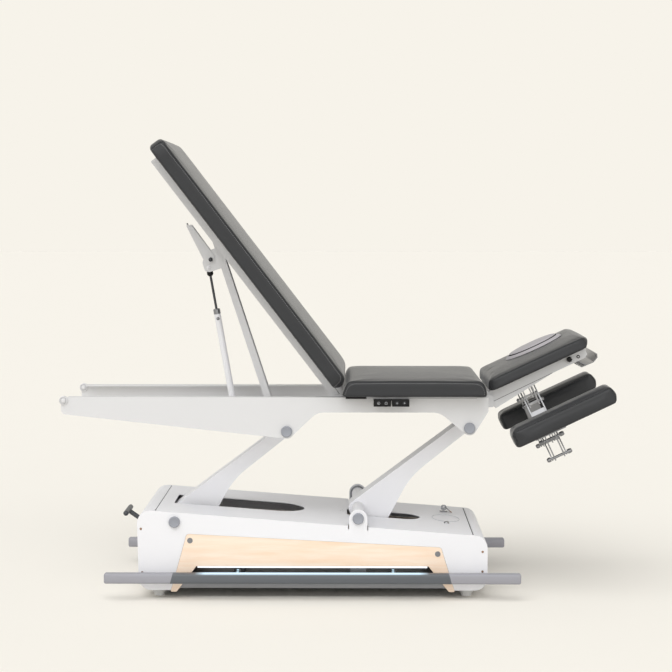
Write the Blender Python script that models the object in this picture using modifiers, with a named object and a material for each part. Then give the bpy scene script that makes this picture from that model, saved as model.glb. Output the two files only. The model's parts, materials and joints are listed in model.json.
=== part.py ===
"""Electric treatment table: a low base, two lift arms, an upper frame with a seat, a long raised section held by a
gas spring, a head section with a face opening, and two armrests. Metres, +X towards the head end, +Z up."""

import math

import bmesh
import bpy
from mathutils import Matrix, Vector

# General
GAP = 0.0003
SIDES = 24
BOSS_SIDES = 32
EDGE_RADIUS = 0.011

# Base housing
BASE_HALF_WIDTH = 0.305
SHEET = 0.003
COVER_SHEET = 0.0025
COVER_LIP_FOOT_X = -0.656
COVER_LIP_HEAD_X = 0.480
BASE_FOOT_X = -0.704
BASE_HEAD_X = 0.532
BASE_BOTTOM = 0.028
SEAM_FOOT_X = -0.639
SEAM_HEAD_X = 0.483
SEAM_FOOT_Z = 0.3096
TOP_SLOPE = math.radians(4.35)
END_LEAN = 0.007
END_RADIUS = 0.045
SEAM_GAP = 0.0008

# Lift linkage
ARM_LENGTH = 0.503
ARM_ANGLE = math.radians(38.5)
FOOT_PIVOT = (-0.571, 0.271)
PIVOT_SPACING = (0.6475, 0.0125)
ARM_HALF_WIDTH = 0.056
ARM_WALL = 0.004
ARM_TOP = 0.030
ARM_TOP_END = 0.0126
ARM_UNDER = 0.030
FIN_START = 0.2194
FIN_SLOPE = 0.4385
ARM_TUBE_RADIUS = 0.022
ARM_BOSS_RADIUS = 0.029
ARM_BOSS_PROUD = 0.003
AXLE_RADIUS = 0.010
CAP_RADIUS = 0.0187
CAP_THICK = 0.010
CRANK_LENGTH = 0.110
CRANK_ANGLE = math.radians(-110.5)
LUG_RADIUS = 0.032
SLIT = 0.0035
SLIT_DEPTH = 0.012

# Slots in the top plate, given as world X and half widths
FOOT_SLOT = (-0.592, -0.120)
FOOT_SLOT_HALF = 0.100
HEAD_SLOT = (0.036, 0.305)
HEAD_SLOT_HALF = 0.067
NOTCH_DEPTH = 0.036

# Wood panels and light strips
PANEL_THICK = 0.015
PANEL_BOTTOM = 0.0226
PANEL_FOOT_X = -0.584
PANEL_HEAD_X = 0.4155
PANEL_TOP_FOOT = (-0.528, 0.228)
PANEL_TOP_HEAD = (0.368, 0.181)
PANEL_LEG = 0.021
OPENING_TOP = 0.114
OPENING_FOOT_X = -0.494
OPENING_HEAD_X = 0.324
STRIP_HEIGHT = 0.006
STRIP_DEPTH = 0.012

# Chassis and feet
PAN_BOTTOM = 0.0325
PAN_THICK = 0.0025
PAN_FOOT_X = -0.652
PAN_HEAD_X = 0.492
MEMBER = (0.030, 0.020)
UPRIGHT_THICK = 0.008
UPRIGHT_HALF = 0.028
FOOT_X = (-0.631, 0.4605)
FOOT_Y = BASE_HALF_WIDTH - 0.055
FOOT_RADIUS = 0.023
FOOT_STEP = 0.010

# Foot bars
BAR_X = (-0.8136, 0.6455)
BAR_Y = BASE_HALF_WIDTH + 0.045
BAR_WIDTH = 0.035
BAR_Z = (0.062, 0.098)
BAR_HINGE_Y = BASE_HALF_WIDTH - 0.043
BAR_HINGE_Z = 0.085
BAR_ARM_X = (-0.350, 0.200)
BAR_ARM = 0.008
BAR_PIN_RADIUS = 0.005
BAR_EYE_RADIUS = 0.010

# Castor pedal
PEDAL_SHAFT = (-0.655, 0.1813)
PEDAL_T = (-0.771, 0.2626)
PEDAL_T_LENGTH = 0.160
PEDAL_T_RADIUS = 0.0095
PEDAL_STEM_RADIUS = 0.0085
PEDAL_SHAFT_RADIUS = 0.008
PEDAL_BRACKET_Y = 0.030
PEDAL_BRACKET_THICK = 0.006
PEDAL_SLOT = (0.135, 0.247)

# Lift motor
MOTOR_PIVOT = (-0.360, 0.110)
MOTOR_EYE_HALF = 0.016
MOTOR_BRACKET_Y = MOTOR_EYE_HALF + 0.001
MOTOR_RADIUS = 0.030
TUBE_RADIUS = 0.021
TUBE_END = 0.335
ROD_RADIUS = 0.010
ROD_EYE_RADIUS = 0.016
ROD_EYE_HALF = 0.018

# Control unit with mains inlet, key lock
UNIT_X = (0.372, 0.490)
UNIT_Y = -0.120
UNIT_SIZE = (0.150, 0.090)
INLET_SIZE = (0.048, 0.028)
INLET_WALL = 0.004
INLET_DEPTH = 0.014
LOCK_X = 0.400
LOCK_Y = 0.170
LOCK_RADIUS = 0.012
KEY_SIZE = (0.022, 0.0022, 0.026)

# Upper frame, in its own coordinates: the lift arms carry it by FRAME_FOOT_PIVOT
FRAME_FOOT_PIVOT = (-0.177348, 0.584125)
RAIL_RISE = 0.121575
RAIL_HALF_WIDTH = 0.245
RAIL_SHEET = 0.004
RAIL_TOP = FRAME_FOOT_PIVOT[1] + RAIL_RISE
RAIL_FOOT_X = -0.976
RAIL_HEAD_X = 0.537
RAIL_FOOT_LOW = (-0.961, RAIL_TOP - 0.0617)
RAIL_MID_LOW = RAIL_TOP - 0.0537
RAIL_HEAD_LOW = RAIL_TOP - 0.0497
LOBE_RADIUS = 0.0255
FLANGE_WIDTH = 0.040
END_BOSS = (-0.967, RAIL_TOP - 0.0117)
END_BOSS_RADIUS = 0.0155
END_BOSS_PROUD = 0.007
END_BOLT_RADIUS = 0.008

# Seat
MEMBER_DROP = (0.0437, 0.0157)
SEAT_X = (0.013, RAIL_HEAD_X - 0.0045)
CUSHION_HALF_WIDTH = 0.320
SEAT_BOARD_X = (SEAT_X[0] + 0.019, SEAT_X[1] - 0.0405)
SEAT_BOARD_HALF = CUSHION_HALF_WIDTH - 0.020
BOARD_THICK = 0.0076
SEAT_THICK = 0.067
SEAT_CROWN = 0.011
SEAT_CORNER = 0.030

# Control boxes under the seat board
BOX_X = (0.130, 0.191, 0.195, 0.255)
BOX_HEIGHT = 0.025
BOX_Y = (-0.318, -0.262)
BUTTON_RADIUS = 0.0072
BUTTON_PROUD = 0.0018
BUTTON_DEPTH = 0.005
BUTTON_PITCH = 0.026

# Long section
SECTION_HINGE = (0.000, RAIL_TOP - 0.0057)
SECTION_ANGLE = math.radians(52.5)
SECTION_CUSHION = (0.020, 1.108)
SECTION_FRAME_END = 1.066
SECTION_BAR_Y = (0.155, 0.185)
SECTION_BAR_N = (-0.013, 0.0145)
SECTION_THICK = 0.065
SECTION_CROWN = 0.007
SECTION_CORNER = 0.060
HINGE_PIN_RADIUS = 0.006
HINGE_PLATE = 0.006
GUIDE_Y = (0.0385, 0.0425)
GUIDE_REACH = (0.0937, 0.2163)
GUIDE_N = SECTION_BAR_N[0] + 0.001

# Support arm with gas spring and lever
PROP_PIVOT = (-0.2375, RAIL_TOP - 0.0707)
PROP_LENGTH = 0.658
ROLLER_N = -0.0100
PROP_HALF_WIDTH = 0.035
PROP_DEPTH = 0.0125
PROP_SHEET = 0.003
PROP_AXLE_RADIUS = 0.009
ROLLER_RADIUS = 0.008
SPRING_PIVOT = (-0.373, RAIL_TOP - 0.0937)
SPRING_EYE_S = PROP_LENGTH - 0.0885
SPRING_EYE_N = -0.0567
SPRING_TUBE_RADIUS = 0.012
SPRING_ROD_RADIUS = 0.0045
SPRING_TUBE_END = 0.3955
BRACKET_Y = (0.018, 0.021)
LEVER_BOLT = (PROP_LENGTH - 0.064, -0.040)
LEVER_BOLT_RADIUS = 0.005
LEVER_TIP = (PROP_LENGTH + 0.079, -0.077)
LEVER_SHEET = 0.003

# Head section
HEAD_HINGE = (RAIL_HEAD_X + 0.010, RAIL_TOP - 0.0072)
HEAD_ANGLE = math.radians(25.0)
HEAD_BAR_Y = (0.165, 0.190)
HEAD_BAR_N = (-0.0115, 0.0237)
HEAD_BAR_END = 0.378
HEAD_CUSHION = (0.002, 0.402)
HEAD_CUSHION_HALF = 0.250
HEAD_THICK = 0.054
HEAD_CROWN = 0.014
HEAD_CORNER = 0.045
FACE_CENTRE = 0.2256
FACE_HALF = (0.098, 0.078)
PLUG_RIM = 0.012
PLUG_DEPTH = 0.020
PLUG_DOME = 0.018
KNOB_U = 0.3115
KNOB_N = 0.0077
KNOB_RADIUS = 0.009
HANDLE_PIVOT = (0.3300, -0.0035)
PADDLE = (0.002, 0.081)
PADDLE_N = (-0.020, -0.036)
HANDLE_HALF = 0.158

# Armrests
REST_Y = 0.115
REST_U = (0.107, 0.166)
REST_A = (-0.0224, -0.0904)
REST_SWING = math.radians(21.5)
REST_LINK = 0.215
LINK_THICK = 0.004
LINK_HALF = 0.008
REST_PIN_RADIUS = 0.005
PLATE_U = (0.1165, 0.1525)
PAD_Y = (0.200, 0.330)
PAD_U = (0.005, 0.405)
PAD_N = (-0.187, -0.118)
PAD_CROWN = 0.010
PAD_CORNER = 0.030
NUT_RADIUS = 0.0085


def clear_scene():
    for obj in list(bpy.data.objects):
        bpy.data.objects.remove(obj)


def collection(name):
    made = bpy.data.collections.new(name)
    bpy.context.scene.collection.children.link(made)
    return made


clear_scene()
PARTS = collection("treatment_table")
CUTTERS = collection("cutters")


def paint(name, colour, roughness, metallic=0.0):
    made = bpy.data.materials.new(name)
    made.use_nodes = True
    shader = made.node_tree.nodes["Principled BSDF"]
    shader.inputs["Base Color"].default_value = (*colour, 1.0)
    shader.inputs["Roughness"].default_value = roughness
    shader.inputs["Metallic"].default_value = metallic
    made.diffuse_color = (*colour, 1.0)
    return made


def axis_empty(name, place, pitch=0.0, parent=None):
    made = bpy.data.objects.new(name, None)
    PARTS.objects.link(made)
    made.location = place
    made.rotation_euler = (0.0, pitch, 0.0)
    made.parent = parent
    made.empty_display_size = 0.05
    return made


def mesh_of(bm):
    mesh = bpy.data.meshes.new("shape")
    bm.to_mesh(mesh)
    bm.free()
    return mesh


def box(x, y, z):
    """A box from its limits along each axis."""
    bm = bmesh.new()
    bmesh.ops.create_cube(bm, size=1.0)
    low = Vector((x[0], y[0], z[0]))
    high = Vector((x[1], y[1], z[1]))
    bmesh.ops.scale(bm, vec=high - low, verts=bm.verts)
    bmesh.ops.translate(bm, vec=(high + low) / 2, verts=bm.verts)
    return mesh_of(bm)


def axis_turn(axis):
    """The rotation that carries +Z onto the named axis."""
    if axis == "X":
        return Matrix.Rotation(math.radians(90), 4, "Y")
    if axis == "Y":
        return Matrix.Rotation(math.radians(-90), 4, "X")
    return Matrix.Identity(4)


def cylinder(radius, span, centre=(0.0, 0.0), axis="Y", sides=SIDES):
    """A cylinder along an axis between two places on it; centre holds the other two coordinates."""
    bm = bmesh.new()
    length = span[1] - span[0]
    bmesh.ops.create_cone(
        bm, cap_ends=True, segments=sides, radius1=radius, radius2=radius, depth=length
    )
    middle = (span[0] + span[1]) / 2
    place = {
        "X": (middle, centre[0], centre[1]),
        "Y": (centre[0], middle, centre[1]),
        "Z": (centre[0], centre[1], middle),
    }[axis]
    bm.transform(Matrix.Translation(place) @ axis_turn(axis))
    return mesh_of(bm)


def rod_between(start, end, radius, sides=SIDES):
    """A round rod between two points."""
    start = Vector(start)
    end = Vector(end)
    bm = bmesh.new()
    bmesh.ops.create_cone(
        bm, cap_ends=True, segments=sides, radius1=radius, radius2=radius, depth=(end - start).length
    )
    turn = (end - start).to_track_quat("Z", "Y").to_matrix().to_4x4()
    bm.transform(Matrix.Translation((start + end) / 2) @ turn)
    return mesh_of(bm)


def evaluated_mesh(obj):
    graph = bpy.context.evaluated_depsgraph_get()
    mesh = bpy.data.meshes.new_from_object(obj.evaluated_get(graph), depsgraph=graph)
    bpy.data.objects.remove(obj)
    bm = bmesh.new()
    bm.from_mesh(mesh)
    bmesh.ops.remove_doubles(bm, verts=bm.verts, dist=1e-6)
    bmesh.ops.recalc_face_normals(bm, faces=bm.faces)
    return mesh_of(bm)


def turned(profile, centre=(0.0, 0.0), axis="Y", sides=SIDES):
    """A turned solid from (radius, height) points listed from its top to its foot."""
    bm = bmesh.new()
    points = [bm.verts.new((radius, 0.0, height)) for radius, height in profile]
    for first, second in zip(points, points[1:]):
        bm.edges.new((first, second))
    obj = bpy.data.objects.new("profile", mesh_of(bm))
    CUTTERS.objects.link(obj)
    screw = obj.modifiers.new("Screw", "SCREW")
    screw.steps = sides
    screw.render_steps = sides
    screw.use_merge_vertices = True
    screw.merge_threshold = 1e-5
    mesh = evaluated_mesh(obj)
    place = {
        "X": (0.0, centre[0], centre[1]),
        "Y": (centre[0], 0.0, centre[1]),
        "Z": (centre[0], centre[1], 0.0),
    }[axis]
    mesh.transform(Matrix.Translation(place) @ axis_turn(axis))
    return mesh


def flat(outlines, span, plane="XZ"):
    """A flat plate from a list of outlines, the first its edge and the rest its holes."""
    curve = bpy.data.curves.new("outline", "CURVE")
    curve.dimensions = "2D"
    curve.fill_mode = "BOTH"
    curve.extrude = (span[1] - span[0]) / 2
    for outline in outlines:
        spline = curve.splines.new("POLY")
        spline.points.add(len(outline) - 1)
        for point, (a, b) in zip(spline.points, outline):
            point.co = (a, b, 0.0, 1.0)
        spline.use_cyclic_u = True
    obj = bpy.data.objects.new("outline", curve)
    CUTTERS.objects.link(obj)
    mesh = evaluated_mesh(obj)
    middle = (span[0] + span[1]) / 2
    if plane == "XZ":
        mesh.transform(Matrix.Translation((0, middle, 0)) @ Matrix.Rotation(math.radians(90), 4, "X"))
    elif plane == "YZ":
        turn = Matrix(((0, 0, 1, 0), (1, 0, 0, 0), (0, 1, 0, 0), (0, 0, 0, 1)))
        mesh.transform(Matrix.Translation((middle, 0, 0)) @ turn)
    else:
        mesh.transform(Matrix.Translation((0, 0, middle)))
    return mesh


def rounded(corners, steps=5, closed=True):
    """Corners (a, b, radius) turned into outline points, each radius as an arc."""
    points = []
    count = len(corners)
    for index, corner in enumerate(corners):
        radius = corner[2] if len(corner) > 2 else 0.0
        here = Vector(corner[:2])
        at_end = not closed and index in (0, count - 1)
        if radius == 0.0 or at_end:
            points.append(tuple(here))
            continue
        back = (Vector(corners[index - 1][:2]) - here).normalized()
        onward = (Vector(corners[(index + 1) % count][:2]) - here).normalized()
        half = math.acos(max(-1.0, min(1.0, back.dot(onward)))) / 2
        reach = radius / math.tan(half)
        centre = here + (back + onward).normalized() * (radius / math.sin(half))
        start = here + back * reach - centre
        turn = start.angle_signed(here + onward * reach - centre)
        for step in range(steps + 1):
            angle = -turn * step / steps
            points.append(tuple(centre + Matrix.Rotation(angle, 2) @ start))
    return points


def circle(centre, radius, sides=SIDES):
    return [
        (
            centre[0] + radius * math.cos(2 * math.pi * step / sides),
            centre[1] + radius * math.sin(2 * math.pi * step / sides),
        )
        for step in range(sides)
    ]


def arc(centre, radius, start, end, steps):
    return [
        (
            centre[0] + radius * math.cos(math.radians(start + (end - start) * step / steps)),
            centre[1] + radius * math.sin(math.radians(start + (end - start) * step / steps)),
        )
        for step in range(steps + 1)
    ]


def joined(*meshes):
    """Shapes that don't touch, as one mesh."""
    bm = bmesh.new()
    for mesh in meshes:
        bm.from_mesh(mesh)
    return mesh_of(bm)


def mirrored(mesh):
    """A copy of a shape on the other side of the table."""
    bm = bmesh.new()
    bm.from_mesh(mesh)
    bmesh.ops.scale(bm, vec=(1, -1, 1), verts=bm.verts)
    bmesh.ops.reverse_faces(bm, faces=bm.faces)
    return mesh_of(bm)


def both_sides(mesh):
    return joined(mesh, mirrored(mesh))


def piece(name, mesh, material, parent, steps=(), bevel=0.0):
    """One named solid. Each step is ("UNION" or "DIFFERENCE", mesh)."""
    obj = bpy.data.objects.new(name, mesh)
    PARTS.objects.link(obj)
    obj.parent = parent
    mesh.name = name
    mesh.materials.append(material)
    if bevel:
        edge = obj.modifiers.new("Bevel", "BEVEL")
        edge.width = bevel
        edge.segments = 2
        edge.limit_method = "ANGLE"
        edge.angle_limit = math.radians(50)
    for number, (operation, tool) in enumerate(steps, 1):
        other = bpy.data.objects.new(f"{name}_{operation.lower()}_{number}", tool)
        CUTTERS.objects.link(other)
        other.parent = parent
        other.hide_render = True
        other.display_type = "WIRE"
        boolean = obj.modifiers.new(f"{operation.title()} {number}", "BOOLEAN")
        boolean.operation = operation
        boolean.object = other
        boolean.solver = "EXACT"
    return obj


def shade_round():
    """Smooth shading with sharp edges kept, once every piece exists."""
    for obj in PARTS.objects:
        if obj.type == "MESH":
            obj.data.shade_smooth()
            obj.data.set_sharp_from_angle(angle=math.radians(35))


WHITE = paint("white powder coat", (0.83, 0.83, 0.84), 0.35)
LIGHT_GREY = paint("light grey powder coat", (0.70, 0.70, 0.70), 0.40)
VINYL = paint("dark grey upholstery", (0.075, 0.075, 0.077), 0.50)
BOARD = paint("black board", (0.02, 0.02, 0.02), 0.6)
BIRCH = paint("birch plywood", (0.87, 0.70, 0.50), 0.45)
CAP_GREY = paint("grey plastic", (0.33, 0.34, 0.37), 0.4)
BAR_GREY = paint("grey foot bar", (0.36, 0.36, 0.38), 0.35)
SLATE = paint("slate plastic", (0.06, 0.065, 0.075), 0.4)
BLACK = paint("black plastic", (0.015, 0.015, 0.015), 0.4)
CHROME = paint("bright steel", (0.75, 0.75, 0.76), 0.2, 1.0)
ZINC = paint("zinc plated steel", (0.55, 0.56, 0.58), 0.4, 0.9)
GLOW = paint("light strip", (0.9, 0.97, 1.0), 0.3)
PLUG_GREY = paint("plug cover", (0.45, 0.44, 0.43), 0.55)


def top_line(x):
    """Height of the base's sloping top at a place along the table."""
    return SEAM_FOOT_Z - (x - SEAM_FOOT_X) * math.tan(TOP_SLOPE)


def arm_point(pivot, u, n):
    """A point of a lift arm in table coordinates."""
    cos, sin = math.cos(ARM_ANGLE), math.sin(ARM_ANGLE)
    return (pivot[0] + u * cos - n * sin, pivot[1] + u * sin + n * cos)


def along_section(place):
    """A place as distances along the long section from its hinge and square to it."""
    x, z = place[0] - SECTION_HINGE[0], place[1] - SECTION_HINGE[1]
    cos, sin = math.cos(SECTION_ANGLE), math.sin(SECTION_ANGLE)
    return z * sin - x * cos, x * sin + z * cos


PROP_U, PROP_N = along_section(PROP_PIVOT)
PROP_ANGLE = SECTION_ANGLE + math.asin((ROLLER_N - PROP_N) / PROP_LENGTH)
ROLLER_U = PROP_U + PROP_LENGTH * math.cos(PROP_ANGLE - SECTION_ANGLE)
GUIDE_U = (ROLLER_U - GUIDE_REACH[0], ROLLER_U + GUIDE_REACH[1])
HEAD_PIVOT = (FOOT_PIVOT[0] + PIVOT_SPACING[0], FOOT_PIVOT[1] + PIVOT_SPACING[1])
FOOT_UPPER = FRAME_FOOT_PIVOT
HEAD_UPPER = (FOOT_UPPER[0] + PIVOT_SPACING[0], FOOT_UPPER[1] + PIVOT_SPACING[1])
PLATE_INNER = BASE_HALF_WIDTH - SHEET
UPRIGHT_OUTER = BASE_HALF_WIDTH - PANEL_THICK - GAP
UPRIGHT_INNER = UPRIGHT_OUTER - UPRIGHT_THICK
RAIL_INNER = RAIL_HALF_WIDTH - RAIL_SHEET
BORE = AXLE_RADIUS + GAP
CAP_INNER = BASE_HALF_WIDTH + GAP
THROUGH = BASE_HALF_WIDTH + 0.015
ROOT = axis_empty("table_origin", (0.0, 0.0, 0.0))


def base_corners():
    """The two rounded ends of the base seen from the side, as corners with radii."""
    foot_top = (BASE_FOOT_X, top_line(BASE_FOOT_X), END_RADIUS)
    foot_low = (BASE_FOOT_X + END_LEAN, BASE_BOTTOM, END_RADIUS)
    head_top = (BASE_HEAD_X, top_line(BASE_HEAD_X), END_RADIUS)
    head_low = (BASE_HEAD_X, BASE_BOTTOM, END_RADIUS)
    return foot_top, foot_low, head_top, head_low


def side_plate():
    """Side of the base: a sheet with a cut-out for the wood panel and a lug at the head end pivot."""
    foot_top, foot_low, head_top, head_low = base_corners()
    grow = 2 * GAP
    lug_left = HEAD_PIVOT[0] - LUG_RADIUS
    lug_right = HEAD_PIVOT[0] + LUG_RADIUS
    corners = [
        foot_low,
        (PANEL_FOOT_X - grow, BASE_BOTTOM),
        (PANEL_TOP_FOOT[0] - grow, PANEL_TOP_FOOT[1] + grow, 0.012),
        (PANEL_TOP_HEAD[0] + grow, PANEL_TOP_HEAD[1] + grow, 0.012),
        (PANEL_HEAD_X + grow, BASE_BOTTOM),
        head_low,
        head_top,
        (lug_right + SLIT, top_line(lug_right + SLIT)),
        (lug_right + SLIT, top_line(lug_right) - SLIT_DEPTH),
        (lug_right, top_line(lug_right) - SLIT_DEPTH),
    ]
    left = [
        (lug_left, top_line(lug_left) - SLIT_DEPTH),
        (lug_left - SLIT, top_line(lug_left) - SLIT_DEPTH),
        (lug_left - SLIT, top_line(lug_left - SLIT)),
        foot_top,
    ]
    outline = rounded(corners + [(*p, 0.0) for p in arc(HEAD_PIVOT, LUG_RADIUS, 0, 180, 12)] + left)
    holes = [circle(FOOT_PIVOT, BORE), circle(HEAD_PIVOT, BORE)]
    return flat([outline] + holes, (PLATE_INNER, BASE_HALF_WIDTH))


def make_side_plates():
    plate = side_plate()
    piece("base_side_plate_far", plate, WHITE, ROOT)
    piece("base_side_plate_near", mirrored(plate), WHITE, ROOT)


def slot_outline(ends, half, corner):
    """A slot in the top plate's own plane, its head end a half circle."""
    start, end = ((x - SEAM_FOOT_X) / math.cos(TOP_SLOPE) for x in ends)
    return rounded([(start, -half, corner), (end, -half, half), (end, half, half), (start, half, corner)], 8)


def make_top_plate():
    """Sloping top sheet with a slot for each lift arm and a notch beside each lug."""
    seam = axis_empty("top_seam", (SEAM_FOOT_X, 0.0, SEAM_FOOT_Z), TOP_SLOPE, ROOT)
    length = (SEAM_HEAD_X - SEAM_FOOT_X) / math.cos(TOP_SLOPE)
    half = PLATE_INNER - GAP
    notch = half - NOTCH_DEPTH
    place = (HEAD_PIVOT[0] - SEAM_FOOT_X) / math.cos(TOP_SLOPE)
    reach = LUG_RADIUS + SLIT
    outline = [
        (SEAM_GAP, -half), (place - reach, -half), (place - reach, -notch), (place + reach, -notch),
        (place + reach, -half), (length - SEAM_GAP, -half), (length - SEAM_GAP, half),
        (place + reach, half), (place + reach, notch), (place - reach, notch), (place - reach, half),
        (SEAM_GAP, half),
    ]
    lock = ((LOCK_X - SEAM_FOOT_X) / math.cos(TOP_SLOPE), LOCK_Y)
    outlines = [
        outline,
        slot_outline(FOOT_SLOT, FOOT_SLOT_HALF, 0.010),
        slot_outline(HEAD_SLOT, HEAD_SLOT_HALF, 0.010),
        circle(lock, LOCK_RADIUS + GAP),
    ]
    piece("base_top_plate", flat(outlines, (-SHEET, 0.0), "XY"), WHITE, seam)
    return seam


def strip_outline(path, thick):
    """A bent sheet's section: the outer path and the same path moved inwards."""
    inner = []
    for index, here in enumerate(path):
        before = Vector(path[max(index - 1, 0)])
        after = Vector(path[min(index + 1, len(path) - 1)])
        along = (after - before).normalized()
        inner.append((here[0] - along.y * thick, here[1] + along.x * thick))
    return path + inner[::-1]


def make_end_covers():
    """Bent end covers between the side plates, each with the opening it needs."""
    foot_top, foot_low, head_top, head_low = base_corners()
    half = PLATE_INNER - GAP
    foot_start = SEAM_FOOT_X - SEAM_GAP
    foot_path = rounded([(foot_start, top_line(foot_start)), foot_top, foot_low, (COVER_LIP_FOOT_X, BASE_BOTTOM)], 6, False)
    slot = box(
        (BASE_FOOT_X - 0.02, BASE_FOOT_X + 0.02),
        (-PEDAL_STEM_RADIUS - 0.002, PEDAL_STEM_RADIUS + 0.002),
        PEDAL_SLOT,
    )
    foot = flat([strip_outline(foot_path, COVER_SHEET)], (-half, half))
    piece("base_end_cover_foot", foot, WHITE, ROOT, [("DIFFERENCE", slot)])
    head_start = SEAM_HEAD_X + SEAM_GAP
    head_path = rounded([(COVER_LIP_HEAD_X, BASE_BOTTOM), head_low, head_top, (head_start, top_line(head_start))], 6, False)
    wide, high = (INLET_SIZE[0] / 2 + GAP, INLET_SIZE[1] / 2 + GAP)
    window = box(
        (BASE_HEAD_X - 0.02, BASE_HEAD_X + 0.02),
        (UNIT_Y - wide, UNIT_Y + wide),
        (inlet_height() - high, inlet_height() + high),
    )
    head = flat([strip_outline(head_path, COVER_SHEET)], (-half, half))
    piece("base_end_cover_head", head, WHITE, ROOT, [("DIFFERENCE", window)])


def inlet_height():
    return PAN_BOTTOM + PAN_THICK + GAP + UNIT_SIZE[1] / 2


def panel_shape():
    """Wood side panel: a wide arch with slanted legs."""
    lean_foot = (PANEL_TOP_FOOT[0] - PANEL_FOOT_X) / (PANEL_TOP_FOOT[1] - BASE_BOTTOM)
    lean_head = (PANEL_HEAD_X - PANEL_TOP_HEAD[0]) / (PANEL_TOP_HEAD[1] - BASE_BOTTOM)
    drop = BASE_BOTTOM - PANEL_BOTTOM
    foot_low = PANEL_FOOT_X - drop * lean_foot
    head_low = PANEL_HEAD_X + drop * lean_head
    outline = rounded([
        (foot_low, PANEL_BOTTOM, 0.003),
        (foot_low + PANEL_LEG, PANEL_BOTTOM, 0.003),
        (OPENING_FOOT_X, OPENING_TOP, 0.004),
        (OPENING_HEAD_X, OPENING_TOP, 0.004),
        (head_low - PANEL_LEG, PANEL_BOTTOM, 0.003),
        (head_low, PANEL_BOTTOM, 0.003),
        (PANEL_TOP_HEAD[0], PANEL_TOP_HEAD[1], 0.012),
        (PANEL_TOP_FOOT[0], PANEL_TOP_FOOT[1], 0.012),
    ], 3)
    return flat([outline], (BASE_HALF_WIDTH - PANEL_THICK, BASE_HALF_WIDTH))


def make_panels():
    panel = panel_shape()
    piece("wood_panel_far", panel, BIRCH, ROOT)
    piece("wood_panel_near", mirrored(panel), BIRCH, ROOT)
    top = OPENING_TOP - GAP
    outer = BASE_HALF_WIDTH - 0.0005
    ends = (OPENING_FOOT_X + 0.004, OPENING_HEAD_X - 0.004)
    strip = box(ends, (outer - STRIP_DEPTH, outer), (top - STRIP_HEIGHT, top))
    piece("light_strip_far", strip, GLOW, ROOT)
    piece("light_strip_near", mirrored(strip), GLOW, ROOT)


def upright(pivot):
    """Upright plate of the chassis that carries one end of a lower axle."""
    outline = [(pivot[0] + UPRIGHT_HALF, PAN_BOTTOM + 0.001)]
    outline += arc(pivot, UPRIGHT_HALF, 0, 180, 10)
    outline += [(pivot[0] - UPRIGHT_HALF, PAN_BOTTOM + 0.001)]
    return flat([outline], (UPRIGHT_INNER, UPRIGHT_OUTER))


def make_chassis():
    """Floor pan with edge members, axle uprights, foot bar hinges and the pedal and motor brackets."""
    pan_top = PAN_BOTTOM + PAN_THICK
    pan = box((PAN_FOOT_X, PAN_HEAD_X), (-UPRIGHT_OUTER + 0.001, UPRIGHT_OUTER - 0.001), (PAN_BOTTOM, pan_top))
    member_outer = UPRIGHT_OUTER - 0.0005
    member = box(
        (PAN_FOOT_X + 0.002, PAN_HEAD_X - 0.002),
        (member_outer - MEMBER[0], member_outer),
        (PAN_BOTTOM + 0.001, pan_top + MEMBER[1]),
    )
    uprights = joined(upright(FOOT_PIVOT), upright(HEAD_PIVOT))
    lugs = []
    pins = []
    for x in BAR_ARM_X:
        lug_x = (x + BAR_ARM / 2 + 0.0006, x + BAR_ARM / 2 + 0.0066)
        top = (BAR_HINGE_Z + 0.009)
        lugs.append(box(lug_x, (BAR_HINGE_Y - 0.009, BAR_HINGE_Y + 0.009), (pan_top + 0.010, top)))
        pin_x = (x - BAR_ARM / 2 - 0.003, x + BAR_ARM / 2 + 0.004)
        pins.append(cylinder(BAR_PIN_RADIUS, pin_x, (BAR_HINGE_Y, BAR_HINGE_Z), "X", 12))
    pedal = flat(
        [[
            (PAN_FOOT_X + 0.001, PAN_BOTTOM + 0.001), (PAN_FOOT_X + 0.030, PAN_BOTTOM + 0.001),
            *arc(PEDAL_SHAFT, 0.016, 0, 180, 8),
        ]],
        (PEDAL_BRACKET_Y, PEDAL_BRACKET_Y + PEDAL_BRACKET_THICK),
    )
    motor_y = MOTOR_BRACKET_Y
    motor = flat(
        [[
            (MOTOR_PIVOT[0] - 0.020, PAN_BOTTOM + 0.001), (MOTOR_PIVOT[0] + 0.020, PAN_BOTTOM + 0.001),
            *arc(MOTOR_PIVOT, 0.018, 0, 180, 8),
        ]],
        (motor_y, motor_y + PEDAL_BRACKET_THICK),
    )
    motor_pin = cylinder(0.006, (-motor_y - 0.003, motor_y + 0.003), MOTOR_PIVOT, "Y", 12)
    bores = joined(
        cylinder(BORE, (-THROUGH, THROUGH), FOOT_PIVOT),
        cylinder(BORE, (-THROUGH, THROUGH), HEAD_PIVOT),
        cylinder(PEDAL_SHAFT_RADIUS + GAP, (-0.06, 0.06), PEDAL_SHAFT),
    )
    steps = [
        ("UNION", both_sides(member)),
        ("UNION", both_sides(uprights)),
        ("UNION", both_sides(joined(*lugs))),
        ("UNION", both_sides(joined(*pins))),
        ("UNION", both_sides(pedal)),
        ("UNION", both_sides(motor)),
        ("UNION", motor_pin),
        ("DIFFERENCE", bores),
    ]
    piece("base_chassis", pan, ZINC, ROOT, steps)


def make_feet():
    """Four levelling feet under the chassis pan."""
    top = PAN_BOTTOM - GAP
    profile = [
        (0.0, top), (0.010, top), (0.010, 0.026), (FOOT_RADIUS, 0.026), (FOOT_RADIUS, FOOT_STEP + 0.002),
        (FOOT_RADIUS - 0.004, FOOT_STEP), (FOOT_RADIUS - 0.004, 0.002), (FOOT_RADIUS - 0.006, 0.0), (0.0, 0.0),
    ]
    for end, x in zip(("foot", "head"), FOOT_X):
        for side, y in (("near", -FOOT_Y), ("far", FOOT_Y)):
            piece(f"levelling_foot_{end}_{side}", turned(profile, (x, y), "Z", 20), WHITE, ROOT)


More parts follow.
